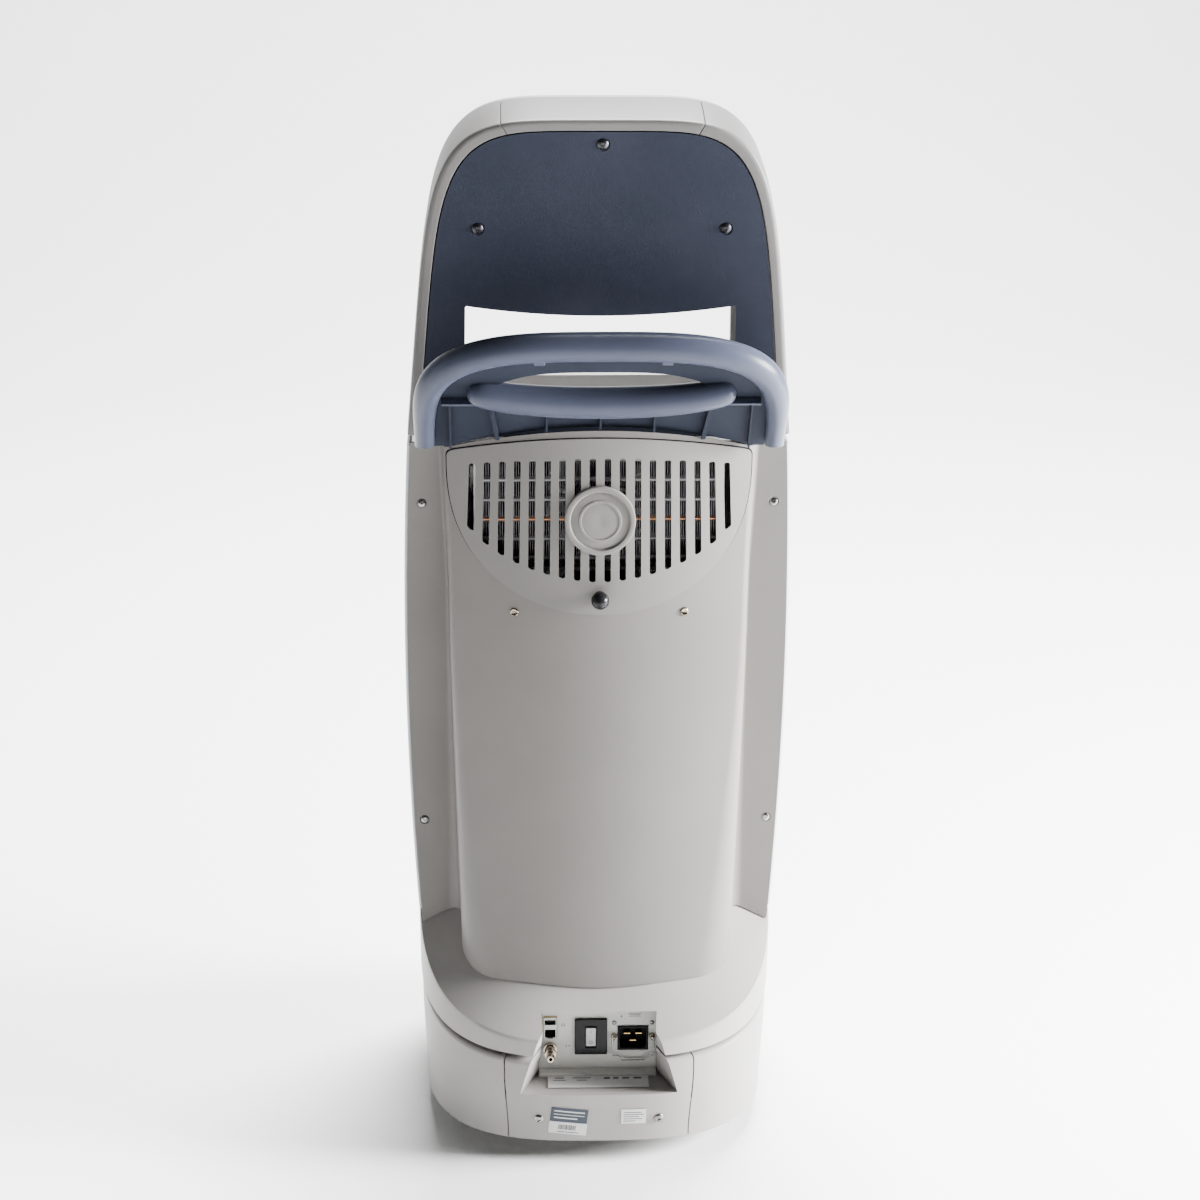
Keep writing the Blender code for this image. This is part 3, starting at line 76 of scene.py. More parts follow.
def makeGrainGroup():
    group, given, out = nodeGroup(
        "mouldedGrain",
        [("Grain", "NodeSocketFloat", 900.0), ("Depth", "NodeSocketFloat", 0.00004),
         ("Light", "NodeSocketColor", (0.8, 0.8, 0.8, 1)), ("Dark", "NodeSocketColor", (0.7, 0.7, 0.7, 1)),
         ("Rough", "NodeSocketFloat", 0.5), ("RoughSpread", "NodeSocketFloat", 0.1)],
        [("Color", "NodeSocketColor"), ("Roughness", "NodeSocketFloat"), ("Normal", "NodeSocketVector")])
    link = group.links.new
    coords = group.nodes.new("ShaderNodeTexCoord")
    fine = group.nodes.new("ShaderNodeTexNoise")
    fine.inputs["Detail"].default_value = 3.0
    link(coords.outputs["Object"], fine.inputs["Vector"])
    link(given.outputs["Grain"], fine.inputs["Scale"])
    cloud = group.nodes.new("ShaderNodeTexNoise")
    cloud.inputs["Scale"].default_value = 9.0
    cloud.inputs["Detail"].default_value = 5.0
    link(coords.outputs["Object"], cloud.inputs["Vector"])
    smudge = group.nodes.new("ShaderNodeMapRange")
    smudge.inputs["From Min"].default_value = 0.35
    smudge.inputs["From Max"].default_value = 0.70
    link(cloud.outputs["Fac"], smudge.inputs["Value"])
    speck = group.nodes.new("ShaderNodeMath")
    speck.operation = "MULTIPLY_ADD"
    speck.inputs[1].default_value = 0.35
    link(fine.outputs["Fac"], speck.inputs[0])
    link(smudge.outputs["Result"], speck.inputs[2])
    mix = group.nodes.new("ShaderNodeMix")
    mix.data_type = "RGBA"
    link(speck.outputs["Value"], mix.inputs["Factor"])
    link(given.outputs["Light"], mix.inputs["A"])
    link(given.outputs["Dark"], mix.inputs["B"])
    link(mix.outputs["Result"], out.inputs["Color"])
    rough = group.nodes.new("ShaderNodeMath")
    rough.operation = "MULTIPLY_ADD"
    link(cloud.outputs["Fac"], rough.inputs[0])
    link(given.outputs["RoughSpread"], rough.inputs[1])
    link(given.outputs["Rough"], rough.inputs[2])
    link(rough.outputs["Value"], out.inputs["Roughness"])
    bump = group.nodes.new("ShaderNodeBump")
    bump.inputs["Strength"].default_value = 1.0
    link(fine.outputs["Fac"], bump.inputs["Height"])
    link(given.outputs["Depth"], bump.inputs["Distance"])
    link(bump.outputs["Normal"], out.inputs["Normal"])
    return group


grainGroup = makeGrainGroup()
finishes = {
    "coverGrey": {"light": (0.150, 0.142, 0.133), "dark": (0.137, 0.130, 0.122), "rough": 0.46, "spread": 0.12,
                  "grain": 850, "depth": 0.00005},
    "grilleGrey": {"light": (0.168, 0.160, 0.151), "dark": (0.154, 0.147, 0.139), "rough": 0.44, "spread": 0.12,
                   "grain": 850, "depth": 0.00005},
    "rimGrey": {"light": (0.125, 0.121, 0.119), "dark": (0.114, 0.110, 0.108), "rough": 0.42, "spread": 0.10,
                "grain": 950, "depth": 0.00004},
    "baseWhite": {"light": (0.290, 0.277, 0.266), "dark": (0.268, 0.256, 0.246), "rough": 0.40, "spread": 0.12,
                  "grain": 900, "depth": 0.00004},
    "sideBlue": {"light": (0.330, 0.350, 0.380), "dark": (0.305, 0.325, 0.352), "rough": 0.42, "spread": 0.10,
                 "grain": 900, "depth": 0.00004},
    "navyTexture": {"light": (0.022, 0.025, 0.038), "dark": (0.017, 0.020, 0.031), "rough": 0.58, "spread": 0.12,
                    "grain": 600, "depth": 0.00012, "specular": 0.06},
    "handleSlate": {"light": (0.050, 0.057, 0.086), "dark": (0.042, 0.048, 0.073), "rough": 0.32, "spread": 0.14,
                    "grain": 800, "depth": 0.00005, "specular": 0.16},
    # painted shade: the handle web is the same slate moulding as the bow, darkened here to stand in for the shade of
    # its recess behind the grip
    "webShadedSlate": {"light": (0.020, 0.023, 0.034), "dark": (0.015, 0.018, 0.027), "rough": 0.50, "spread": 0.12,
                "grain": 700, "depth": 0.00006, "specular": 0.04},
    "blackGloss": {"light": (0.012, 0.012, 0.013), "dark": (0.008, 0.008, 0.009), "rough": 0.14, "spread": 0.10,
                   "grain": 400, "depth": 0.00001, "specular": 0.16},
    "blackMatt": {"light": (0.011, 0.011, 0.012), "dark": (0.007, 0.007, 0.008), "rough": 0.48, "spread": 0.15,
                  "grain": 700, "depth": 0.00005, "specular": 0.08},
    "rockerWhite": {"light": (0.560, 0.560, 0.550), "dark": (0.520, 0.520, 0.510), "rough": 0.35, "spread": 0.10,
                    "grain": 900, "depth": 0.00002},
    "platePaint": {"light": (0.560, 0.560, 0.530), "dark": (0.510, 0.510, 0.480), "rough": 0.45, "spread": 0.12,
                   "grain": 1200, "depth": 0.00003},
    "orangeCap": {"light": (0.460, 0.085, 0.030), "dark": (0.400, 0.070, 0.025), "rough": 0.35, "spread": 0.10,
                  "grain": 700, "depth": 0.00003},
    "greyCap": {"light": (0.330, 0.340, 0.360), "dark": (0.290, 0.300, 0.320), "rough": 0.35, "spread": 0.10,
                "grain": 700, "depth": 0.00003},
    "tyreRubber": {"light": (0.060, 0.060, 0.062), "dark": (0.045, 0.045, 0.047), "rough": 0.70, "spread": 0.15,
                   "grain": 500, "depth": 0.00010},
    "boardGreen": {"light": (0.020, 0.130, 0.055), "dark": (0.015, 0.100, 0.042), "rough": 0.40, "spread": 0.15,
                   "grain": 500, "depth": 0.00003},
    "deckWhite": {"light": (0.860, 0.860, 0.855), "dark": (0.830, 0.830, 0.825), "rough": 0.40, "spread": 0.10,
                  "grain": 700, "depth": 0.00003},
    # painted shadow: near-black finish for the strips laid in the grille and skirt gaps, and also the black of the
    # window liner
    "seamShadowAndLinerBlack": {"light": (0.012, 0.012, 0.013), "dark": (0.008, 0.008, 0.009), "rough": 0.80, "spread": 0.10,
                 "grain": 400, "depth": 0.00003, "specular": 0.05},
    "labelWhite": {"light": (0.560, 0.555, 0.550), "dark": (0.530, 0.525, 0.520), "rough": 0.35, "spread": 0.10,
                   "grain": 500, "depth": 0.00001},
    "labelDark": {"light": (0.062, 0.072, 0.088), "dark": (0.052, 0.060, 0.075), "rough": 0.38, "spread": 0.10,
                  "grain": 500, "depth": 0.00001, "specular": 0.08},
    "labelInk": {"light": (0.050, 0.050, 0.055), "dark": (0.038, 0.038, 0.042), "rough": 0.50, "spread": 0.10,
                 "grain": 500, "depth": 0.00001},
}
metals = {
    "zincSteel": {"light": (0.34, 0.34, 0.32), "dark": (0.20, 0.20, 0.19), "rough": 0.26, "spread": 0.22,
                  "grain": 260, "depth": 0.00002},
    "nickel": {"light": (0.44, 0.38, 0.31), "dark": (0.30, 0.25, 0.19), "rough": 0.16, "spread": 0.16,
               "grain": 260, "depth": 0.00001},
    "brass": {"light": (0.62, 0.46, 0.20), "dark": (0.42, 0.30, 0.12), "rough": 0.24, "spread": 0.20,
              "grain": 260, "depth": 0.00002},
    "copperTube": {"light": (0.62, 0.32, 0.19), "dark": (0.42, 0.21, 0.12), "rough": 0.28, "spread": 0.22,
                   "grain": 200, "depth": 0.00002},
    "castAluminium": {"light": (0.62, 0.62, 0.63), "dark": (0.50, 0.50, 0.51), "rough": 0.40, "spread": 0.22,
                      "grain": 300, "depth": 0.00010},
    "finAluminium": {"light": (0.42, 0.42, 0.43), "dark": (0.28, 0.28, 0.29), "rough": 0.42, "spread": 0.20,
                     "grain": 300, "depth": 0.00003},
    "darkScrew": {"light": (0.060, 0.060, 0.065), "dark": (0.035, 0.035, 0.040), "rough": 0.34, "spread": 0.20,
                  "grain": 260, "depth": 0.00002},
}


def makeFinish(name, look, metallic):
    made = bpy.data.materials.new(name)
    made.use_nodes = True
    tree = made.node_tree
    shader = tree.nodes["Principled BSDF"]
    grain = tree.nodes.new("ShaderNodeGroup")
    grain.node_tree = grainGroup
    grain.inputs["Grain"].default_value = look["grain"]
    grain.inputs["Depth"].default_value = look["depth"]
    grain.inputs["Light"].default_value = (*look["light"], 1)
    grain.inputs["Dark"].default_value = (*look["dark"], 1)
    grain.inputs["Rough"].default_value = look["rough"] - look["spread"] / 2
    grain.inputs["RoughSpread"].default_value = look["spread"]
    tree.links.new(grain.outputs["Color"], shader.inputs["Base Color"])
    tree.links.new(grain.outputs["Roughness"], shader.inputs["Roughness"])
    tree.links.new(grain.outputs["Normal"], shader.inputs["Normal"])
    shader.inputs["Metallic"].default_value = metallic
    if not metallic:
        shader.inputs["Specular IOR Level"].default_value = look.get("specular", 0.20)
    return made


materials = {name: makeFinish(name, look, 0.0) for name, look in finishes.items()}
materials.update({name: makeFinish(name, look, 1.0) for name, look in metals.items()})


def makeClear():
    made = bpy.data.materials.new("frostedBottle")
    made.use_nodes = True
    tree = made.node_tree
    shader = tree.nodes["Principled BSDF"]
    shader.inputs["Transmission Weight"].default_value = 0.75
    shader.inputs["IOR"].default_value = 1.45
    coords = tree.nodes.new("ShaderNodeTexCoord")
    noise = tree.nodes.new("ShaderNodeTexNoise")
    noise.inputs["Scale"].default_value = 140.0
    tree.links.new(coords.outputs["Object"], noise.inputs["Vector"])
    ramp = tree.nodes.new("ShaderNodeMapRange")
    ramp.inputs["To Min"].default_value = 0.22
    ramp.inputs["To Max"].default_value = 0.40
    tree.links.new(noise.outputs["Fac"], ramp.inputs["Value"])
    tree.links.new(ramp.outputs["Result"], shader.inputs["Roughness"])
    shader.inputs["Base Color"].default_value = (0.86, 0.88, 0.89, 1)
    return made


def makeScreen():
    made = bpy.data.materials.new("screenGlass")
    made.use_nodes = True
    tree = made.node_tree
    shader = tree.nodes["Principled BSDF"]
    coords = tree.nodes.new("ShaderNodeTexCoord")
    noise = tree.nodes.new("ShaderNodeTexNoise")
    noise.inputs["Scale"].default_value = 30.0
    tree.links.new(coords.outputs["Object"], noise.inputs["Vector"])
    mix = tree.nodes.new("ShaderNodeMix")
    mix.data_type = "RGBA"
    mix.inputs["A"].default_value = (0.010, 0.013, 0.018, 1)
    mix.inputs["B"].default_value = (0.014, 0.018, 0.024, 1)
    tree.links.new(noise.outputs["Fac"], mix.inputs["Factor"])
    tree.links.new(mix.outputs["Result"], shader.inputs["Base Color"])
    shader.inputs["Roughness"].default_value = 0.06
    shader.inputs["Coat Weight"].default_value = 0.5
    return made


materials["frostedBottle"] = makeClear()
materials["screenGlass"] = makeScreen()
print("materials made")


# modelling helpers

def newObject(name, mesh):
    made = bpy.data.objects.new(name, mesh)
    bpy.context.scene.collection.objects.link(made)
    return made


def fromData(name, verts, faces, tidy=True):
    mesh = bpy.data.meshes.new(name)
    mesh.from_pydata([tuple(v) for v in verts], [], faces)
    if tidy:
        work = bmesh.new()
        work.from_mesh(mesh)
        bmesh.ops.recalc_face_normals(work, faces=work.faces)
        work.to_mesh(mesh)
        work.free()
    return newObject(name, mesh)


def bake(obj):
    graph = bpy.context.evaluated_depsgraph_get()
    mesh = bpy.data.meshes.new_from_object(obj.evaluated_get(graph))
    obj.modifiers.clear()
    obj.data = mesh
    return obj


def bevel(obj, width, segments=2, degrees=30):
    step = obj.modifiers.new("bevel", "BEVEL")
    step.width = width
    step.segments = segments
    step.limit_method = "ANGLE"
    step.angle_limit = math.radians(degrees)
    step.use_clamp_overlap = True
    step.harden_normals = False
    return bake(obj)


def smooth(obj, degrees=40):
    obj.data.shade_smooth()
    obj.data.set_sharp_from_angle(angle=math.radians(degrees))
    step = obj.modifiers.new("normals", "WEIGHTED_NORMAL")
    step.mode = "FACE_AREA"
    step.weight = 50
    step.keep_sharp = True
    return bake(obj)


def boolean(obj, operation, *others):
    for other in others:
        for solver in ("MANIFOLD", "EXACT"):
            before = obj.data
            step = obj.modifiers.new("cut", "BOOLEAN")
            step.operation = operation
            step.object = other
            step.solver = solver
            bake(obj)
            if len(obj.data.polygons) > 3 and (solver == "EXACT" or sameCut(before, obj.data) is False):
                break
            obj.data = before
        bpy.data.objects.remove(other)
    return obj


def sameCut(before, after):
    return len(before.vertices) == len(after.vertices) and len(before.polygons) == len(after.polygons)


def join(name, objects):
    work = bmesh.new()
    for obj in objects:
        obj.data.transform(obj.matrix_world)
        work.from_mesh(obj.data)
    mesh = bpy.data.meshes.new(name)
    work.to_mesh(mesh)
    work.free()
    for obj in objects:
        bpy.data.objects.remove(obj)
    return newObject(name, mesh)


def spaced(low, high, count):
    return [low + (high - low) * i / (count - 1) for i in range(count)]


def ease(value, low, high):
    share = min(1, max(0, (value - low) / (high - low)))
    return share * share * (3 - 2 * share)


def grid(rows, closed=False):
    across = len(rows[0])
    faces = []
    for r in range(len(rows) - 1):
        for c in range(across if closed else across - 1):
            d = (c + 1) % across
            faces.append((r * across + c, r * across + d, (r + 1) * across + d, (r + 1) * across + c))
    return [p for row in rows for p in row], faces


def sheet(name, rows, thickness, closed=False, edge=0.0007):
    verts, faces = grid(rows, closed)
    made = fromData(name, verts, faces, tidy=False)
    step = made.modifiers.new("wall", "SOLIDIFY")
    step.thickness = thickness
    step.offset = -1
    step.use_even_offset = True
    step.use_quality_normals = True
    bake(made)
    if edge:
        bevel(made, edge, 3, 50)
    return smooth(made)


def solidLoft(name, rows):
    verts, faces = grid(rows, True)
    across = len(rows[0])
    faces.append(tuple(range(across - 1, -1, -1)))
    faces.append(tuple((len(rows) - 1) * across + c for c in range(across)))
    return fromData(name, verts, faces)


def prism(name, outline, place):
    count = len(outline)
    verts = [place(u, v, side) for side in (0, 1) for u, v in outline]
    faces = [tuple(range(count)), tuple(range(2 * count - 1, count - 1, -1))]
    faces += [(i, i + count, (i + 1) % count + count, (i + 1) % count) for i in range(count)]
    return fromData(name, verts, faces)


def box(name, low, high):
    outline = [(low[0], low[1]), (high[0], low[1]), (high[0], high[1]), (low[0], high[1])]
    return prism(name, outline, lambda u, v, side: (u, v, (low[2], high[2])[side]))


def turned(name, profile, centre, axis, steps=48, smoothAngle=35):
    turn = Vector((0, 0, 1)).rotation_difference(Vector(axis)).to_matrix()
    rows = []
    for radius, height in profile:
        rows.append([Vector(centre) + turn @ Vector((radius * math.cos(2 * math.pi * k / steps),
                                                     radius * math.sin(2 * math.pi * k / steps), height))
                     for k in range(steps)])
    verts, faces = grid(rows, True)
    made = fromData(name, verts, faces, tidy=False)
    work = bmesh.new()
    work.from_mesh(made.data)
    bmesh.ops.remove_doubles(work, verts=work.verts, dist=0.000001)
    holes = [e for e in work.edges if len(e.link_faces) == 1]
    if holes:
        bmesh.ops.holes_fill(work, edges=holes)
    bmesh.ops.recalc_face_normals(work, faces=work.faces)
    work.to_mesh(made.data)
    work.free()
    return smooth(made, smoothAngle)


def rod(name, points, radius, sides=12):
    points = [Vector(p) for p in points]
    rows = []
    last = len(points) - 1
    for i, point in enumerate(points):
        along = (points[min(i + 1, last)] - points[max(i - 1, 0)]).normalized()
        if i == 0:
            side = along.orthogonal().normalized()
        else:
            side = (side - along * side.dot(along)).normalized()
        other = along.cross(side)
        size = radius[i] if isinstance(radius, (list, tuple)) else radius
        turns = [2 * math.pi * k / sides for k in range(sides)]
        rows.append([point + (side * math.cos(a) + other * math.sin(a)) * size for a in turns])
    return smooth(solidLoft(name, rows), 60)


# corner-rounded path through the points
def rounded(points, radius, steps=6):
    points = [Vector(p) for p in points]
    path = [points[0]]
    for i in range(1, len(points) - 1):
        before, here, after = points[i - 1], points[i], points[i + 1]
        a, b = (before - here), (after - here)
        reach = min(radius, a.length * 0.45, b.length * 0.45)
        start, end = here + a.normalized() * reach, here + b.normalized() * reach
        for k in range(steps + 1):
            s = k / steps
            path.append(start * (1 - s) ** 2 + here * 2 * s * (1 - s) + end * s * s)
    path.append(points[-1])
    return path


def finish(obj, material, body, slot, *replaced):
    obj.data.materials.clear()
    obj.data.materials.append(materials[material])
    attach(obj, body)
    if replaced:
        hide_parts(*replaced)
    return obj


# base: skirt and collar

def planPoint(halfWidth, halfDepth, angle):
    c, s = math.cos(angle), math.sin(angle)
    reach = (abs(c / halfWidth) ** plan["power"] + abs(s / halfDepth) ** plan["power"]) ** (-1 / plan["power"])
    return c * reach, s * reach


def planShare(x, y):
    a, b = plan["collar"]
    return (abs(x / a) ** plan["power"] + abs(y / b) ** plan["power"]) ** (1 / plan["power"])


def lipZ(y):
    return collar["lipZ"] + collar["lipRise"] * (0.245 - min(0.245, max(abs(y), 0.02)))


def collarZ(x, y):
    run = 0.245 - max(abs(y), collar["flatY"])
    return collar["rearZ"] + collar["rise"] * run + collar["dome"] * (1 - min(1, planShare(x, y)))


def footZ(y):
    return plan["foot"][2] + plan["toe"] * ease(y, 0.06, 0.19)


def skirtRows(angles, inset=0.0010, footDrop=0.0):
    footW, footD, _ = plan["foot"]
    wide, deep = plan["shoulder"]
    inW, inD = plan["lipIn"]
    steps = [(footW - 0.0006, footD - 0.0006, 0.0, 0), (footW, footD, 0.006, 0)]
    for k in range(1, 10):
        s = k / 10
        bow = 0.5 - 0.5 * math.cos(math.pi * s ** 0.85)
        steps.append((footW + (wide - footW) * bow, footD + (deep - footD) * bow, s * 0.985, 0.016 * s))
    for k in range(7):
        turn = math.radians(90) * k / 6
        steps.append((wide - 0.005 + 0.005 * math.cos(turn), deep - 0.005 + 0.005 * math.cos(turn), 1.0,
                      0.0035 + 0.0055 * (1 - math.sin(turn))))
    steps.append((inW, inD, 1.0, 0.0035))
    rows = []
    for a, b, share, drop in steps:
        row = []
        for angle in angles:
            x, y = planPoint(a - inset, b - inset, angle)
            top, foot = lipZ(y) - drop - inset, footZ(y) - footDrop
            row.append((x, y, foot + (top - foot) * share))
        rows.append(row)
    return rows


def panelAngle():
    low, high = -math.pi / 2, 0.0
    for _ in range(40):
        middle = (low + high) / 2
        if planPoint(*plan["shoulder"], middle)[0] > plan["panelHalf"]:
            high = middle
        else:
            low = middle
    return middle


def recessFrustum(grow):
    points = [(x + math.copysign(grow, x), y, z + math.copysign(grow, z - 0.13))
              for shape, y in ((recess["back"], recess["plateY"]), (recess["rim"], recess["rimY"])) for x, z in shape]
    faces = [(0, 1, 2, 3), (7, 6, 5, 4), (0, 4, 5, 1), (2, 6, 7, 3), (1, 5, 2), (2, 5, 6), (0, 3, 4), (3, 7, 4)]
    return fromData("recess", points, faces)


def recessBackHole():
    return box("hole", (-0.0665, recess["plateY"] - 0.0005, 0.085), (0.0665, recess["plateY"] + 0.02, 0.160))


def makeSkirts():
    edge = panelAngle()
    margin = plan["shut"] / 0.20
    for side, name in ((1, "skirt_left"), (-1, "skirt_right")):
        sweep = spaced(edge + margin, math.pi / 2 - margin, 90)
        angles = [math.pi - a for a in reversed(sweep)] if side == 1 else sweep
        shell = sheet(name + "Shell", skirtRows(angles), 0.003, edge=0.0009)
        finish(shell, "baseWhite", "tower", "white", name)
    angles = spaced(-math.pi - edge + margin, edge - margin, 44)
    rows = skirtRows(angles)
    panel = sheet("skirtRearShell", rows, 0.003, edge=0)
    blockRows = [[p for p in row] + [(row[-1][0], -0.182, row[-1][2]), (row[0][0], -0.182, row[0][2])]
                 for row in skirtRows(angles, 0.0012, -0.03)]
    block = boolean(solidLoft("block", blockRows), "INTERSECT", recessFrustum(0.003))
    panel = boolean(panel, "UNION", block)
    panel = boolean(panel, "DIFFERENCE", recessFrustum(0.0), recessBackHole())
    bevel(panel, 0.0013, 3, 35)
    finish(smooth(panel, 40), "baseWhite", "tower", "white", "skirt_rear_panel")


def collarRows(angles, shares, inset=0.0):
    rows = [[], [], []]
    a, b = plan["collar"]
    for angle in angles:
        x, y = planPoint(a - 0.0035 - inset, b - 0.0035 - inset, angle)
        rows[0].append((x, y, lipZ(y) + 0.0006))
        x, y = planPoint(a - 0.0010 - inset, b - 0.0010 - inset, angle)
        rows[1].append((x, y, lipZ(y) + 0.0016))
        x, y = planPoint(a - inset, b - inset, angle)
        rows[2].append((x, y, max(lipZ(y) + 0.004, collarZ(x, y) - 0.003 - inset)))
    for share in shares:
        row = []
        for angle in angles:
            x, y = planPoint(a * share, b * share, angle)
            row.append((x, y, collarZ(x, y) - inset))
        rows.append(row)
    return rows


def makeCollar():
    angles = [2 * math.pi * i / 240 for i in range(240)]
    shares = [0.996, 0.990, 0.982] + spaced(0.97, 0.74, 12)
    shell = sheet("collarShell", collarRows(angles, shares), 0.003, closed=True, edge=0)
    rear = spaced(math.radians(-123), math.radians(-57), 40)
    rows = collarRows(rear, [0.996, 0.985, 0.92, 0.84, 0.77, 0.72], inset=0.0012)
    inner = [(x, y) for x, y, z in rows[-1]][::-1]
    zIn = [z for x, y, z in rows[-1]][::-1]
    stack = [[(x, y, lipZ(y) + 0.0006) for x, y in inner] + rows[0]]
    stack += [[(x, y, z) for (x, y), z in zip(inner, zIn)] + row for row in rows[2:-1]]
    block = boolean(solidLoft("block", stack), "INTERSECT", recessFrustum(0.003))
    shell = boolean(shell, "UNION", block)
    shell = boolean(shell, "DIFFERENCE", recessFrustum(0.0), recessBackHole())
    bevel(shell, 0.0016, 3, 38)
    finish(smooth(shell, 40), "baseWhite", "tower", "white", "base_collar")


makeSkirts()
makeCollar()
print("base made")


# tower covers

def flangeY(z):
    rise = z - 0.24
    return tower["flangeFoot"] - 0.012 * rise - 0.125 * rise * abs(rise)


def towerHalf(z):
    return tower["half"] - 0.11 * (z - 0.57) ** 2


def frontY(z):
    return 0.168 - 0.075 * (z - 0.24) * (0.6 + 0.4 * (z - 0.24))


def bulgeY(x, z):
    share = (z - 0.19) / (tower["coverTop"] - 0.19)
    return tower["bulgeFoot"] + (tower["bulgeTop"] - tower["bulgeFoot"]) * share + tower["crown"] * x * x


def bulgeEdge(z):
    return 0.1665 + 0.0065 * ease(z, 0.62, 0.81)


def rearTopZ(x):
    return tower["coverTop"] - 0.026 * (x / grille["half"]) ** 2 if abs(x) < grille["half"] else tower["topZ"]


def rearSection(z):
    low = max(0.0, 1 - max(0.0, z - 0.19) / 0.44) ** 1.5     # the corners get rounder towards the collar
    corner, fillet = tower["corner"] + 0.046 * low, tower["fillet"] + 0.012 * low
    edge, flange = bulgeEdge(z), flangeY(z)
    lean = math.atan(2 * tower["crown"] * (edge - corner))
    start = edge - corner
    points = [(start * i / 22, bulgeY(start * i / 22, z)) for i in range(22)]
    middle = (start - corner * math.sin(lean), bulgeY(start, z) + corner * math.cos(lean))
    for turn in spaced(lean, math.radians(86), 12):
        points.append((middle[0] + corner * math.sin(turn), middle[1] - corner * math.cos(turn)))
    wall = points[-1][0] + 0.0006
    for turn in spaced(math.radians(4), math.radians(90), 8):
        points.append((wall + fillet * (1 - math.cos(turn)), flange - fillet * (1 - math.sin(turn))))
    last = points[-1][0]
    end = towerHalf(z) - 0.0035
    points += [(last + (end - last) * s, flange) for s in (0.25, 0.5, 0.75, 1.0)]
    return points


def grilleOutline(grow=0.0):
    half, drop, top = grille["half"] + grow, grille["drop"] + grow, grille["top"] + grow
    sideZ = top - grille["arch"]
    arch = [(x, top - grille["arch"] * (x / half) ** 2) for x in spaced(0.008 - half, half - 0.008, 48)]
    bend = []
    for a in spaced(math.radians(80), math.radians(5), 7):
        bend.append((half - 0.0075 + 0.0075 * math.cos(a), sideZ - 0.0060 + 0.0073 * math.sin(a)))
    arch = [(-x, z) for x, z in reversed(bend)] + arch + bend
    lower = [(half * math.cos(a), sideZ - 0.006 - (drop - 0.006) * (abs(math.sin(a)) ** 0.80))
             for a in spaced(0, math.pi, 160)]
    return arch + lower


def crownSlab(near, far):
    low, high, half = 0.600, 0.845, 0.172
    columns = spaced(-half, half, 120)
    outline = [(x, tower["crown"] * x * x + far) for x in columns]
    outline += [(x, tower["crown"] * x * x + near if near is not None else -0.10) for x in reversed(columns)]
    return prism("slab", outline, lambda u, v, side: (u, v + bulgeY(0, (low, high)[side]), (low, high)[side]))


def grilleShape(grow, near, far):
    column = prism("column", grilleOutline(grow), lambda u, v, side: (u, (-0.32, -0.10)[side], v))
    return boolean(column, "INTERSECT", crownSlab(near, far))


flangeScrews = [(side * x, z) for x, z in ((0.1910, 0.7272), (0.1920, 0.3492)) for side in (-1, 1)]


def makeRearCover():
    count = len(rearSection(0.5))
    shares = [0, 0.006, 0.02, 0.05, 0.1, 0.2, 0.3, 0.4, 0.5, 0.6, 0.66, 0.72, 0.77, 0.82, 0.87, 0.92, 0.96, 0.985, 1]
    rows = []
    for share in shares:
        row = []
        for column in range(count):
            low = 0.2
            for _ in range(14):
                x, y = rearSection(low)[column]
                low = collarZ(x, y) + 0.0024
            high = rearTopZ(rearSection(0.8)[column][0])
            z = low + (high - low) * share
            row.append((*rearSection(z)[column], z))
        rows.append([(-x, y, z) for x, y, z in reversed(row[1:])] + row)
    cover = sheet("rearCoverShell", rows, tower["wall"], edge=0)
    hole = prism("hole", grilleOutline(-0.006), lambda u, v, side: (u, (-0.26, -0.12)[side], v))
    cover = boolean(cover, "DIFFERENCE", grilleShape(plan["shut"], None, 0.0017), hole)
    for x, z in flangeScrews:
        y = flangeY(z)
        dish = turned("dish", [(0, 0.004), (0.0062, 0.004), (0.0062, 0.0004), (0.0049, -0.0011), (0.0030, -0.0012),
                               (0.0030, -0.02), (0, -0.02)], (x, y, z), (0, -1, 0), 32)
        cover = boolean(cover, "DIFFERENCE", dish)
    bevel(cover, 0.0009, 3, 38)
    finish(smooth(cover, 40), "coverGrey", "tower", "warm_grey", "rear_cover")


def makeSideCovers():
    shares = [0, 0.006, 0.014, 0.025, 0.04, 0.12, 0.3, 0.5, 0.7, 0.85, 0.95, 0.975, 0.99, 1]
    for side, name in ((-1, "side_cover_left"), (1, "side_cover_right")):
        rows = []
        for z in spaced(tower["footZ"] + 0.007, tower["topZ"] - 0.004, 22):
            half = towerHalf(z)
            back, front = flangeY(z) + 0.0032, frontY(z) - 0.0006
            row = []
            for share in shares:
                ends = min(share, 1 - share) / 0.04
                x = half - (0.0 if ends >= 1 else 0.0028 * (1 - ends) ** 2)
                row.append((side * x, back + (front - back) * share, z))
            rows.append(row if side > 0 else row[::-1])
        finish(sheet(name + "Shell", rows, 0.003, edge=0.0010), "sideBlue", "tower", "pale_blue", name)


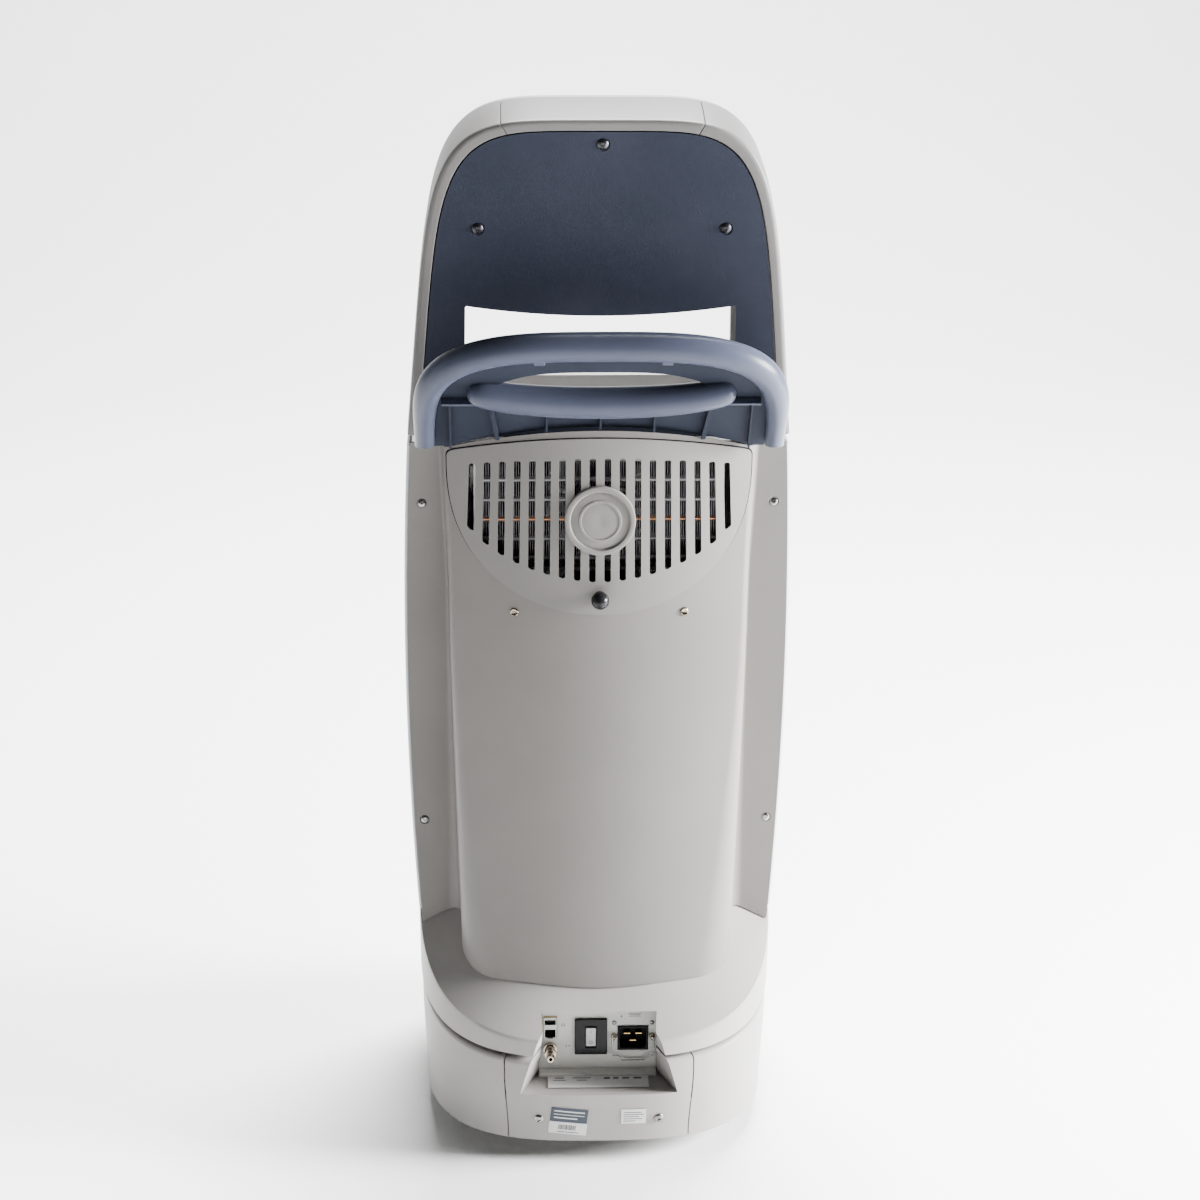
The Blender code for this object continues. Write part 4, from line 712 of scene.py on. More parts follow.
def makeFrontCover():
    positive = [0, 0.1, 0.2, 0.3, 0.4, 0.5, 0.540, 0.555, 0.568, 0.580, 0.592, 0.61, 0.66, 0.73, 0.8, 0.87, 0.93,
                0.955, 0.97, 0.985, 0.995]
    columns = [-c for c in reversed(positive[1:])] + positive
    foot = []
    for c in columns:
        z = 0.22
        for _ in range(14):
            z = collarZ(c * (towerHalf(z) - 0.0065), frontY(z) + 0.020 * (1 - c * c)) + 0.0044
        foot.append(z)
    rows = []
    for share in [0, 0.008, 0.03, 0.06, 0.10, 0.14, 0.2, 0.3, 0.4, 0.5, 0.6, 0.7, 0.8, 0.9, 0.97, 1]:
        row = []
        for c, low in zip(columns, foot):
            z = low + (0.772 - low) * share
            channel = 0.012 * (1 - ease(abs(c), 0.555, 0.61)) * ease(share, 0.0, 0.14)
            row.append((c * (towerHalf(z) - 0.0065), frontY(z) + 0.020 * (1 - c * c) - channel, z))
        rows.append(row[::-1])
    cover = sheet("frontCoverShell", rows, 0.003, edge=0)
    knobHole = turned("hole", [(0, 0.1), (0.0065, 0.1), (0.0065, -0.1), (0, -0.1)], (0, 0.12, 0.68), (0, 1, 0), 40)
    buttonHole = turned("hole", [(0, 0.1), (0.0104, 0.1), (0.0104, -0.1), (0, -0.1)], (0.06, 0.12, 0.68), (0, 1, 0), 40)
    cover = boolean(cover, "DIFFERENCE", knobHole, buttonHole)
    bevel(cover, 0.0007, 2, 40)
    finish(smooth(cover, 45), "baseWhite", "tower", "white", "front_cover")


# a low domed screw with a lobed driver recess
def screwHead(name, centre, axis, radius, height, shank, lobes, material, body, slot, *replaced):
    r, h = radius, height
    dome = [(0.0, h)] + [(r * s, h * (1 - 0.75 * s ** 2.6)) for s in spaced(0.08, 0.96, 10)] + [(r, h * 0.18), (r, 0.0)]
    dome += [(shank[0], 0.0), (shank[0], -shank[1]), (0, -shank[1])]
    made = turned(name, dome, centre, axis, 40)
    turn = Vector((0, 0, 1)).rotation_difference(Vector(axis)).to_matrix()
    outline = []
    for k in range(48):
        a = 2 * math.pi * k / 48
        size = r * (0.36 + 0.13 * math.cos(lobes * a))
        outline.append((size * math.cos(a), size * math.sin(a)))
    socket = prism("socket", outline,
                   lambda u, v, side: Vector(centre) + turn @ Vector((u, v, (h * 0.30, h * 2)[side])))
    boolean(made, "DIFFERENCE", socket)
    bevel(made, r * 0.03, 2, 40)
    smooth(made, 38)
    return finish(made, material, body, slot, *replaced)


def makeFlangeScrews():
    names = ("rear_screw_upper_left", "rear_screw_upper_right", "rear_screw_lower_left", "rear_screw_lower_right")
    for name, (x, z) in zip(names, flangeScrews):
        y = flangeY(z)
        slope = Vector((0, -1, -(flangeY(z + 0.01) - flangeY(z - 0.01)) / 0.02)).normalized()
        screwHead(name + "Head", (x, y + 0.0010, z), slope, 0.0046, 0.0017, (0.0022, 0.007), 6, "zincSteel", "tower",
                  "steel", name)


makeRearCover()
makeSideCovers()
makeFrontCover()
makeFlangeScrews()
print("tower covers made")


# grille cover

def makeGrille():
    plate = grilleShape(0.0, -0.0016, 0.0013)
    cuts = []
    for side in (-1, 1):
        for k in range(grille["side"]):
            x = side * (k + 0.5) * grille["pitch"]
            wide = grille["slot"] / 2
            top = 0.7935 - 0.012 * (x / 0.14) ** 2
            reach = abs(x + side * wide) / 0.1600
            low = 0.6575 + 0.098 * (1 - math.sqrt(max(0.0, 1 - min(1, reach) ** 2)))
            outline = [(x + wide * math.cos(a), top - wide * 0.6 + wide * 0.6 * math.sin(a))
                       for a in spaced(math.pi, 0, 9)]
            foot = x * 1.018
            outline += [(foot + wide * math.cos(a), low + wide * 0.6 + wide * 0.6 * math.sin(a)
                         + 0.004 * k / 8 * (1 + side * math.cos(a)) / 2)
                        for a in spaced(0, -math.pi, 9)]
            cuts.append(prism("slot", outline, lambda u, v, s: (u, (-0.26, -0.11)[s], v)))
    cutter = join("slots", cuts)
    boolean(plate, "DIFFERENCE", cutter)
    z = grille["discZ"]
    y = bulgeY(0, z)
    boss = turned("boss", [(0.0, -0.0022), (0.0310, -0.0022), (0.0316, -0.0026), (0.0322, -0.0046), (0.0330, -0.0052),
                           (0.0368, -0.0050), (0.0377, -0.0044), (0.0380, -0.0030), (0.0380, 0.0030), (0.0, 0.0030)],
                  (0, y, z), (0, 1, 0), 96)
    boolean(plate, "UNION", boss)
    knobY = bulgeY(0, grille["knobZ"])
    bore = turned("bore", [(0, 0.03), (0.0036, 0.03), (0.0036, -0.03), (0, -0.03)], (0, knobY, grille["knobZ"]),
                  (0, 1, 0), 32)
    boolean(plate, "DIFFERENCE", bore)
    bevel(plate, 0.0007, 2, 40)
    finish(smooth(plate, 38), "grilleGrey", "grille", "warm_grey", "grille_cover")
    # painted shadow: a thin near-black ring just under the surface in the gap round the grille plate, standing in for
    # the shade in that gap
    seam = boolean(grilleShape(0.0012, -0.00018, 0.0016), "DIFFERENCE", grilleShape(0.00006, None, 0.0020))
    seam.name = "grilleSeamShadow"
    finish(seam, "seamShadowAndLinerBlack", "tower", "black")

    dish = turned("emblemDish", [(0.0, -0.0034), (0.006, -0.0035), (0.014, -0.0040), (0.0235, -0.0033),
                                 (0.0290, -0.0026), (0.0306, -0.0024), (0.0306, -0.0019), (0.0, -0.0019)],
                  (0, y, z), (0, 1, 0), 96)
    finish(dish, "grilleGrey", "grille", "warm_grey")
    ring = turned("emblemRing", [(0.0200, -0.0041), (0.0206, -0.0045), (0.0226, -0.0044), (0.0232, -0.0038),
                                 (0.0226, -0.0030), (0.0206, -0.0032), (0.0200, -0.0041)], (0, y, z), (0, 1, 0), 96)
    finish(ring, "grilleGrey", "grille", "warm_grey")

    ball = turned("knobBall", [(0.0, 0.0232), (0.0020, 0.0230), (0.0044, 0.0221), (0.0066, 0.0205), (0.0084, 0.0182),
                               (0.0095, 0.0155), (0.0098, 0.0128), (0.0092, 0.0102), (0.0078, 0.0080),
                               (0.0062, 0.0062), (0.0058, 0.0050), (0.0070, 0.0044), (0.0078, 0.0038),
                               (0.0078, 0.0032), (0.0032, 0.0030), (0.0032, -0.0118), (0, -0.0118)],
                  (0, knobY - 0.0006, grille["knobZ"]), (0, -1, 0), 64, 50)
    finish(ball, "blackGloss", "grille_knob", "black", "cover_knob")

    for x in (-0.0916, 0.0916):
        z = 0.6210
        outline = Vector((2 * tower["crown"] * x, -1, -0.03)).normalized()
        stud = turned("stud", [(0, 0.0019), (0.0038, 0.0018), (0.0046, 0.0012), (0.0049, 0.0002), (0.0049, -0.0012),
                               (0, -0.0012)], (x, bulgeY(x, z), z), outline, 40)
        slot = box("slot", (x - 0.0052, bulgeY(x, z) - 0.004, z - 0.0006),
                   (x + 0.0052, bulgeY(x, z) - 0.0010, z + 0.0006))
        boolean(stud, "DIFFERENCE", slot)
        stud.name = "coverStudLeft" if x < 0 else "coverStudRight"
        finish(smooth(stud, 35), "nickel", "tower", "steel")


def makeCooling():
    low, high = 0.6580, 0.7960
    parts = []
    for x0, x1, z0, z1 in ((-0.1348, 0.1348, low + 0.0002, low + 0.0042),
                           (-0.1348, 0.1348, high - 0.0042, high - 0.0002),
                           (-0.1348, -0.1300, low, high), (0.1300, 0.1348, low, high)):
        parts.append(box("bar", (x0, -0.1438, z0), (x1, -0.1222, z1)))
    frame0 = boolean(parts[0], "UNION", *parts[1:])
    bevel(frame0, 0.0006, 2, 40)
    frame0.name = "radiatorFrame"
    finish(smooth(frame0, 35), "castAluminium", "tower", "aluminium", "radiator")
    fins = []
    for x in spaced(-0.1290, 0.1290, 104):
        fins.append(box("fin", (x - 0.00022, -0.1420, low + 0.004), (x + 0.00022, -0.1240, high - 0.004)))
    finish(join("radiatorFins", fins), "finAluminium", "tower", "aluminium")
    rows = spaced(low + 0.014, high - 0.014, 6)
    for index, z in enumerate(rows):
        tube = rod(f"radiatorTube{index}", [(-0.1300, -0.1400, z), (-0.06, -0.1400, z), (0.06, -0.1400, z),
                                            (0.1300, -0.1400, z)], 0.0030, 20)
        finish(tube, "copperTube" if index == 2 else "finAluminium", "tower", "copper")
    for side in (-1, 1):
        for a, b in ((0, 1), (2, 3), (4, 5)) if side > 0 else ((1, 2), (3, 4)):
            z0, z1 = rows[a], rows[b]
            mid, r = (z0 + z1) / 2, (z1 - z0) / 2
            bend = [(side * (0.1285 + 0.0050 * math.sin(t)), -0.1400, mid - r * math.cos(t))
                    for t in spaced(0, math.pi, 14)]
            finish(rod(f"radiatorBend{side}{a}", bend, 0.0028, 16), "copperTube", "tower", "copper")


makeGrille()
makeCooling()
print("grille made")


# head

def headPlace(u, w, d):
    y, z = head["foot"]
    s, c = math.sin(head["lean"]), math.cos(head["lean"])
    return (u, y - w * s + d * c, z + w * c + d * s)


def headEdge(angle, inset=0.0):
    half, height = head["half"] - inset, head["height"] - inset
    c, s = math.cos(angle), math.sin(angle)
    u = math.copysign(abs(c) ** (2 / 5.0), c)
    w = abs(s) ** (2 / 6.5)
    return u * (half - head["taper"] * w * height), w * height


fineAngles = [math.pi / 2 * i ** 3 / (i ** 3 + (2000 - i) ** 3) for i in range(2001)]
fineAngles += [math.pi - a for a in reversed(fineAngles[:-1])]


def headAngles(start, end, count):
    angles = [start] + [a for a in fineAngles if start < a < end] + [end]
    fine = [headEdge(a) for a in angles]
    run = [0.0]
    for (u0, w0), (u1, w1) in zip(fine, fine[1:]):
        run.append(run[-1] + math.hypot(u1 - u0, w1 - w0))
    picked, chosen = 0, []
    for i in range(count):
        goal = run[-1] * i / (count - 1)
        while picked < len(run) - 1 and run[picked] < goal - 1e-9:
            picked += 1
        chosen.append(angles[picked])
    return chosen


def seamAngle():
    low, high = 0.3, math.pi / 2
    for _ in range(40):
        middle = (low + high) / 2
        if headEdge(middle)[0] > 0.105:
            low = middle
        else:
            high = middle
    return middle


def makeHeadRims():
    seam = seamAngle()
    depth = head["depth"]
    steps = [(head["face"], 0.0), (0.0080, 0.0), (0.0050, 0.0), (0.0035, 0.00015), (0.0020, 0.0008), (0.0010, 0.0016),
             (0.0003, 0.0030), (0.0, 0.0050), (0.0, 0.020), (0.0, 0.040), (0.0008, 0.058), (0.0015, depth - 0.012)]
    spans = {"head_rim_right": (0.000002, seam - 0.0016, 120),
             "head_rim_top": (seam + 0.0016, math.pi - seam - 0.0016, 60),
             "head_rim_left": (math.pi - seam + 0.0016, math.pi - 0.000002, 120)}
    for name, (start, end, count) in spans.items():
        rows = [[headPlace(*headEdge(a, inset), d) for a in headAngles(start, end, count)] for inset, d in steps]
        rim = sheet(name + "Shell", rows[::-1], 0.0026, edge=0.0008)
        finish(rim, "rimGrey", "tower", "warm_grey", name)


def windowOutline(grow=0.0, radius=0.0025):
    half = head["windowHalf"] + grow
    foot = head["windowFoot"] - grow
    top = [(u, head["windowTop"] + grow + head["windowArch"] * (u / half) ** 2) for u in spaced(-half, half, 60)]
    corner = [p for p in top if abs(p[0]) <= half - radius]
    edgeTop = head["windowTop"] + grow + head["windowArch"]
    right = [(half - radius + radius * math.cos(a), edgeTop - radius + radius * math.sin(a) + 0.0)
             for a in spaced(math.radians(80), 0, 8)]
    rightFoot = [(half + 0.0015, foot)]
    left = [(-u, w) for u, w in reversed(right)]
    return corner + right + rightFoot + [(-half - 0.0015, foot)] + left


def headPlate(name, inset, near, far):
    outline = [headEdge(a, inset) for a in headAngles(0.0, math.pi, 320)]
    outline = [(u, max(w, 0.001)) for u, w in outline]
    return prism(name, outline, lambda u, w, side: headPlace(u, w, (near, far)[side]))


def windowCutter(grow, near, far, radius=0.0025):
    return prism("window", windowOutline(grow, radius), lambda u, w, side: headPlace(u, w, (near, far)[side]))


def belowCut():
    return box("below", (-0.3, -0.3, 0.7), (0.3, 0.1, 0.8045))


def makeHead():
    depth = head["depth"]
    shut = plan["shut"]
    rear = headPlate("rearPanel", head["face"] + 2.2 * shut, 0.0004, 0.0036)
    rear = boolean(rear, "DIFFERENCE", windowCutter(0, -0.02, 0.03), belowCut())
    for u, w in ((0.0, 0.3380), (0.1290, 0.2450), (-0.1290, 0.2450)):
        axis = Vector(headPlace(u, w, -1)) - Vector(headPlace(u, w, 0))
        dish = turned("dish", [(0, 0.01), (0.0082, 0.01), (0.0082, 0.0006), (0.0070, -0.0008), (0, -0.0008)],
                      headPlace(u, w, 0.0004), axis, 40)
        rear = boolean(rear, "DIFFERENCE", dish)
    bevel(rear, 0.0007, 2, 40)
    rear.name = "headPanel"
    finish(smooth(rear, 40), "navyTexture", "tower", "navy", "head_rear_panel")
    for index, (u, w) in enumerate(((0.0, 0.3380), (0.1290, 0.2450), (-0.1290, 0.2450))):
        axis = Vector(headPlace(u, w, -1)) - Vector(headPlace(u, w, 0))
        screwHead(f"headScrew{index}", headPlace(u, w, 0.0012), axis, 0.0060, 0.0030, (0.0025, 0.004), 6, "darkScrew",
                  "tower", "black")

    bezel = headPlate("bezel", 0.0042, depth - 0.0112, depth)
    corner = 0.004
    low, high, half = 0.172, 0.328, 0.1225
    screen = []
    for cu, cw, a0 in ((half, low, -90), (half, high, 0), (-half, high, 90), (-half, low, 180)):
        cx, cy = cu - math.copysign(corner, cu), cw + (corner if cw == low else -corner)
        screen += [(cx + corner * math.cos(math.radians(a)), cy + corner * math.sin(math.radians(a)))
                   for a in spaced(a0, a0 + 90, 6)]
    cut = prism("screen", screen, lambda u, w, side: headPlace(u, w, (depth - 0.0075, depth + 0.02)[side]))
    bezel = boolean(bezel, "DIFFERENCE", windowCutter(0, 0.02, 0.12), cut, belowCut())
    bevel(bezel, 0.0012, 3, 40)
    bezel.name = "headBezel"
    finish(smooth(bezel, 40), "baseWhite", "tower", "white", "head_front_bezel")
    glass = prism("displayGlass", [(u * 0.9945, (w - 0.25) * 0.9945 + 0.25) for u, w in screen],
                  lambda u, w, side: headPlace(u, w, (depth - 0.0072, depth - 0.0013)[side]))
    bevel(glass, 0.0005, 2, 40)
    finish(smooth(glass, 35), "screenGlass", "tower", "glass", "display")

    near, far = 0.0039, depth - 0.0116
    liner = boolean(windowCutter(0.0028, near, far, 0.005), "DIFFERENCE", windowCutter(0.0004, -0.02, 0.12),
                    box("legs", (-0.137, -0.3, 0.7), (0.137, 0.2, 0.90)), belowCut())
    bevel(liner, 0.0005, 2, 40)
    liner.name = "windowFrame"
    finish(smooth(liner, 40), "seamShadowAndLinerBlack", "tower", "black", "window_liner")


def makeDeck():
    outline = [(-0.1262, 0.8118), (-0.0450, 0.8118), (0.100, 0.7858), (0.1595, 0.7752), (0.1595, 0.7734),
               (0.098, 0.7817), (0.030, 0.7942), (-0.1262, 0.7987)]
    deck = prism("deckTop", outline, lambda y, z, side: ((-0.203, 0.203)[side], y, z))
    edge = [(x, frontY(0.772) + 0.020 * (1 - (x / 0.203) ** 2) + 0.0012) for x in spaced(-0.2003, 0.2003, 60)]
    edge += [(0.2003, -0.14), (-0.2003, -0.14)]
    deck = boolean(deck, "INTERSECT", prism("plan", edge, lambda x, y, side: (x, y, (0.75, 0.85)[side])))
    x, y = humidifier
    cup = turned("cup", [(0, 0.8065), (0.0400, 0.8065), (0.0405, 0.8055), (0.0385, 0.7900), (0.0385, 0.705),
                         (0, 0.705)],
                 (x, y, 0), (0, 0, 1), 72)
    well = turned("well", [(0, 0.86), (0.0360, 0.86), (0.0360, 0.7082), (0, 0.7082)], (x, y, 0), (0, 0, 1), 72)
    deck = boolean(deck, "UNION", cup)
    deck = boolean(deck, "DIFFERENCE", well)
    bevel(deck, 0.0008, 2, 38)
    deck.name = "deckTray"
    finish(smooth(deck, 40), "deckWhite", "tower", "white", "top_deck")


humidifier = (-0.118, 0.060)


def makeFittings():
    x, y = humidifier
    outside = [(0.0, 0.8618), (0.0150, 0.8618), (0.0185, 0.8606), (0.0215, 0.8580), (0.0236, 0.8545), (0.0244, 0.8500)]
    ribs = []
    bottle = turned("bottleBody", [(0.0, 0.8345), (0.0210, 0.8345), (0.0235, 0.8330), (0.0260, 0.8320),
                                   (0.0320, 0.8290),
                                   (0.0342, 0.8250), (0.0344, 0.8200), (0.0344, 0.7170), (0.0335, 0.7120),
                                   (0.0310, 0.7088), (0.0, 0.7088)], (x, y, 0), (0, 0, 1), 96)
    finish(bottle, "frostedBottle", "bottle", "clear", "humidifier_bottle")
    lid = turned("bottleLid", outside + [(0.0244, 0.8400), (0.0236, 0.8380), (0.0236, 0.8348), (0.0, 0.8348)],
                 (x, y, 0), (0, 0, 1), 96)
    for k in range(36):
        a = 2 * math.pi * k / 36
        px, py = x + 0.0243 * math.cos(a), y + 0.0243 * math.sin(a)
        ribs.append(rod("rib", [(px, py, 0.8410), (px, py, 0.8500)], 0.0007, 6))
    lid = join("bottleCap", [lid] + ribs)
    finish(smooth(lid, 40), "greyCap", "bottle", "clear")
    for name, place, look, radius, slotName in (
            ("outletFitting", (-0.0775, 0.0880), "orangeCap", 0.0052, "orange"),
            ("testPort", (-0.0590, 0.0910), "greyCap", 0.0058, "aluminium")):
        px, py = place
        foot = 0.7872 + (0.100 - py) * 0.2157 + 0.0022
        r = radius
        fitting = turned(name, [(0, 0.8235), (r - 0.0022, 0.8235), (r - 0.0010, 0.8231), (r - 0.0002, 0.8220),
                                (r, 0.8206), (r, foot + 0.0085), (r - 0.0006, foot + 0.0080),
                                (r - 0.0006, foot + 0.0066),
                                (r + 0.0022, foot + 0.0060), (r + 0.0030, foot + 0.0048), (r + 0.0030, foot + 0.0004),
                                (0, foot + 0.0004)], (px, py, 0), (0, 0, 1), 48)
        finish(fitting, look, "tower", slotName, "outlet_fitting" if slotName == "orange" else "test_port")
    cradle = box("accessoryCradle", (0.048, 0.060, 0.7988), (0.112, 0.096, 0.8255))
    bevel(cradle, 0.0045, 5)
    boolean(cradle, "DIFFERENCE", box("hollow", (0.053, 0.065, 0.8035), (0.107, 0.091, 0.85)))
    bevel(cradle, 0.0008, 2, 40)
    finish(smooth(cradle, 40), "blackMatt", "tower", "black", "accessory_cradle")


makeHeadRims()
makeHead()
makeDeck()
makeFittings()
print("head and deck made")


# push handle

bowRadius, bowFootRadius = 0.0155, 0.0105


def handlePlace(x, t, n):
    s, c = math.sin(handle["lean"]), math.cos(handle["lean"])
    foot = handle["foot"]
    return (x, foot.y - t * s - n * c, foot.z + t * c - n * s)


def bowLine(count):
    points = []
    for i in range(count):
        a = math.pi * i / (count - 1)
        c, s = math.cos(a), max(0.0, math.sin(a))
        points.append((0.1865 * math.copysign(abs(c) ** 0.62, c), -0.024 + (handle["bowT"] + 0.024) * s ** 0.50))
    return points


def evenly(points, count):
    run = [0.0]
    for a, b in zip(points, points[1:]):
        run.append(run[-1] + math.dist(a, b))
    result, k = [], 0
    for i in range(count):
        goal = run[-1] * i / (count - 1)
        while k < len(run) - 2 and run[k + 1] < goal:
            k += 1
        share = (goal - run[k]) / max(1e-9, run[k + 1] - run[k])
        result.append(tuple(a + (b - a) * min(1, share) for a, b in zip(points[k], points[k + 1])))
    return result


def makeHandle():
    line = evenly(bowLine(2001), 150)
    radii = [bowFootRadius + (bowRadius - bowFootRadius) * ease(t, -0.02, 0.12) for _, t in line]
    bow = rod("handleBow", [handlePlace(x, t, 0.004) for x, t in line], radii, 36)
    bow = boolean(bow, "DIFFERENCE", box("cut", (-0.3, -0.4, 0.7), (0.3, 0.0, 0.8013)))
    bevel(bow, 0.0022, 4, 40)
    finish(smooth(bow, 45), "handleSlate", "tower", "slate", "handle_bow")

    upper = [(x, t) for x, t in evenly(bowLine(2001), 90) if t > 0.0]
    foot = [(x, (rearTopZ(x) + 0.0016 - handle["foot"].z) / math.cos(handle["lean"]))
            for x in spaced(-0.163, 0.163, 60)]
    foot = [(-0.176, foot[0][1])] + foot + [(0.176, foot[-1][1])]
    web = prism("web", upper + foot, lambda x, t, side: handlePlace(x, t, (-0.0045, -0.0005)[side]))
    columns = spaced(-0.108, 0.108, 81)
    slotLine = [(x, 0.0945 - 0.020 * (abs(x) / 0.108) ** 3.5) for x in columns]
    slotLine += [(x, 0.0620 + 0.0110 * (x / 0.108) ** 2) for x in columns[::-1]]
    web = boolean(web, "DIFFERENCE", prism("slot", slotLine, lambda x, t, side: handlePlace(x, t, (-0.05, 0.05)[side])))
    solids = []
    for x in (-0.159, -0.113, -0.057, 0.0, 0.057, 0.113, 0.159):
        wide = 0.0022 if abs(x) == 0.113 else 0.0011
        lean = math.copysign(0.0035, x) if abs(x) == 0.113 else 0.0
        low = (rearTopZ(x) + 0.004 - handle["foot"].z) / math.cos(handle["lean"])
        rib = prism("rib", [(x - wide - lean, low), (x + wide - lean, low), (x + wide + lean, 0.050),
                            (x - wide + lean, 0.050)],
                    lambda u, t, side: handlePlace(u, t, (-0.002, 0.0072)[side]))
        solids.append(rib)
    web = boolean(web, "UNION", *solids)
    room = rod("room", [handlePlace(x, t, 0.004) for x, t in line], [r + 0.0003 for r in radii], 36)
    web = boolean(web, "DIFFERENCE", room)
    bevel(web, 0.0006, 2, 40)
    web.name = "handleWeb"
    # painted shade: the web and its ribs get the darkened copy of the slate finish
    finish(smooth(web, 40), "webShadedSlate", "tower", "slate", "handle_core")

    gripLine = [(x, 0.0513 + 0.0075 * (x / 0.103) ** 2)
                for x in [0.1400 * math.sin(a) for a in spaced(-math.pi / 2, math.pi / 2, 90)]]
    sizes = [0.0170 * (1 - 0.12 * (x / 0.14) ** 2) * (1 - (abs(x) / 0.1403) ** 22) ** 0.5 for x, _ in gripLine]
    grip = rod("handleGrip", [handlePlace(x, t, 0.0062 - 0.006 * (abs(x) / 0.14) ** 4) for x, t in gripLine], sizes, 40)
    bevel(grip, 0.0012, 3, 50)
    finish(smooth(grip, 50), "handleSlate", "tower", "slate")
    for side in (-1, 1):
        a, b = sorted((side * 0.1290, side * 0.1680))
        ledge = prism("ledge", [(a, 0.0483), (b, 0.0483), (b, 0.0517), (a, 0.0517)],
                      lambda u, t, s: handlePlace(u, t, (-0.0003, 0.0085)[s]))
        bevel(ledge, 0.0010, 3, 40)
        ledge.name = "handleLedgeLeft" if side < 0 else "handleLedgeRight"
        finish(smooth(ledge, 40), "handleSlate", "tower", "slate")
        tab = prism("tab", [(side * 0.066 - 0.0060, 0.122), (side * 0.066 + 0.0060, 0.122),
                            (side * 0.066 + 0.0050, 0.134), (side * 0.066 - 0.0050, 0.134)],
                    lambda u, t, s: handlePlace(u, t, (-0.0004, 0.0120)[s]))
        bevel(tab, 0.0012, 3, 40)
        tab.name = "handleTabLeft" if side < 0 else "handleTabRight"
        finish(smooth(tab, 40), "handleSlate", "tower", "slate")


makeHandle()
print("handle made")


# mains panel

bail = {"x": 0.0395, "z": 0.1285, "half": 0.0212}


def makeInletPanel():
    y = recess["plateY"]
    plate = box("plate", (-0.0660, y + 0.0003, 0.0885), (0.0660, y + 0.0021, 0.1595))
    ledge = box("ledge", (-0.0655, y - 0.0150, 0.0856), (0.0655, y + 0.0021, 0.0888))
    plate = boolean(plate, "UNION", ledge)
    for (x, z), halfX, halfZ in (((-0.0075, 0.1285), 0.0150, 0.0180), ((0.0395, 0.1260), 0.0168, 0.0140),
                                 ((-0.0530, 0.1390), 0.0078, 0.0136)):
        plate = boolean(plate, "DIFFERENCE", box("hole", (x - halfX, y - 0.01, z - halfZ),
                                                 (x + halfX, y + 0.01, z + halfZ)))
    bore = turned("bore", [(0, 0.01), (0.0052, 0.01), (0.0052, -0.01), (0, -0.01)], (-0.0530, y, 0.1135), (0, 1, 0), 32)
    plate = boolean(plate, "DIFFERENCE", bore)
    bevel(plate, 0.0004, 2, 40)
    plate.name = "inletPanel"
    finish(smooth(plate, 35), "platePaint", "tower", "plate", "inlet_plate")

    floorLabel = box("recessFloorLabel", (-0.0560, y - 0.0440, 0.0860), (0.0560, y - 0.0060, 0.0864))
    bevel(floorLabel, 0.0001, 1, 40)

    x, z = -0.0075, 0.1285
    frame0 = box("breakerFrame", (x - 0.0182, y - 0.0040, z - 0.0215), (x + 0.0182, y + 0.0000, z + 0.0215))
    bevel(frame0, 0.0014, 4, 30)
    body = box("body", (x - 0.0144, y - 0.0010, z - 0.0174), (x + 0.0144, y + 0.0420, z + 0.0174))
    frame0 = boolean(frame0, "UNION", body)
    frame0 = boolean(frame0, "DIFFERENCE", box("mouth", (x - 0.0060, y - 0.03, z - 0.0132),
                                               (x + 0.0060, y + 0.0100, z + 0.0132)))
    bevel(frame0, 0.0004, 2, 40)
    finish(smooth(frame0, 38), "blackGloss", "tower", "black", "breaker_body")
    outline = [(y - 0.0042, z + 0.0116), (y - 0.0056, z + 0.0116), (y - 0.0062, z + 0.0112)]
    for s in spaced(0.1, 0.9, 9):
        outline.append((y - 0.0062 + 0.0030 * math.sin(math.pi * s) + 0.00252 * s, z + 0.0112 - 0.0224 * s))
    outline += [(y - 0.0034, z - 0.0112), (y - 0.0014, z - 0.0116), (y + 0.0055, z - 0.0030), (y + 0.0055, z + 0.0030)]
    rocker = prism("rockerCap", outline, lambda v, w, side: ((x - 0.0054, x + 0.0054)[side], v, w))
    bevel(rocker, 0.0005, 3, 35)
    finish(smooth(rocker, 40), "rockerWhite", "rocker", "white", "breaker_rocker")
    mark = turned("rockerRing", [(0.0015, 0.0), (0.0015, 0.0003), (0.0020, 0.0003), (0.0020, 0.0), (0.0015, 0.0)],
                  (x, y - 0.0029, z - 0.0068), (0, -1, 0), 32)
    finish(mark, "labelInk", "rocker", "white")
    bar = box("rockerBar", (x - 0.0002, y - 0.0052, z + 0.0052), (x + 0.0002, y - 0.0040, z + 0.0084))
    finish(bar, "labelInk", "rocker", "white")

    x, z = 0.0395, 0.1260
    body = box("inletBody", (x - 0.0164, y - 0.0012, z - 0.0136), (x + 0.0164, y + 0.0300, z + 0.0136))
    flange = box("flange", (x - 0.0172, y - 0.0022, z - 0.0146), (x + 0.0172, y - 0.0002, z + 0.0146))
    bevel(flange, 0.0009, 3)
    body = boolean(body, "UNION", flange)
    mouth = box("mouth", (x - 0.0148, y - 0.03, z - 0.0120), (x + 0.0148, y + 0.0180, z + 0.0120))
    corners = bmesh.new()
    corners.from_mesh(mouth.data)
    upright = [e for e in corners.edges if abs(e.verts[0].co.y - e.verts[1].co.y) > 0.01]
    bmesh.ops.bevel(corners, geom=upright, offset=0.0034, segments=6, profile=0.5, affect="EDGES")
    corners.to_mesh(mouth.data)
    corners.free()
    body = boolean(body, "DIFFERENCE", mouth)
    bevel(body, 0.0004, 2, 40)
    body.name = "mainsInlet"
    finish(smooth(body, 38), "blackMatt", "tower", "black", "mains_inlet")
    for index, (dx, dz) in enumerate(((-0.0065, 0.0040), (0.0065, 0.0040), (0.0, -0.0045))):
        blade = box(f"inletBlade{index}", (x + dx - 0.0038, y + 0.0020, z + dz - 0.0010),
                    (x + dx + 0.0038, y + 0.0180, z + dz + 0.0010))
        bevel(blade, 0.0006, 3, 35)
        finish(smooth(blade, 40), "brass", "tower", "steel")

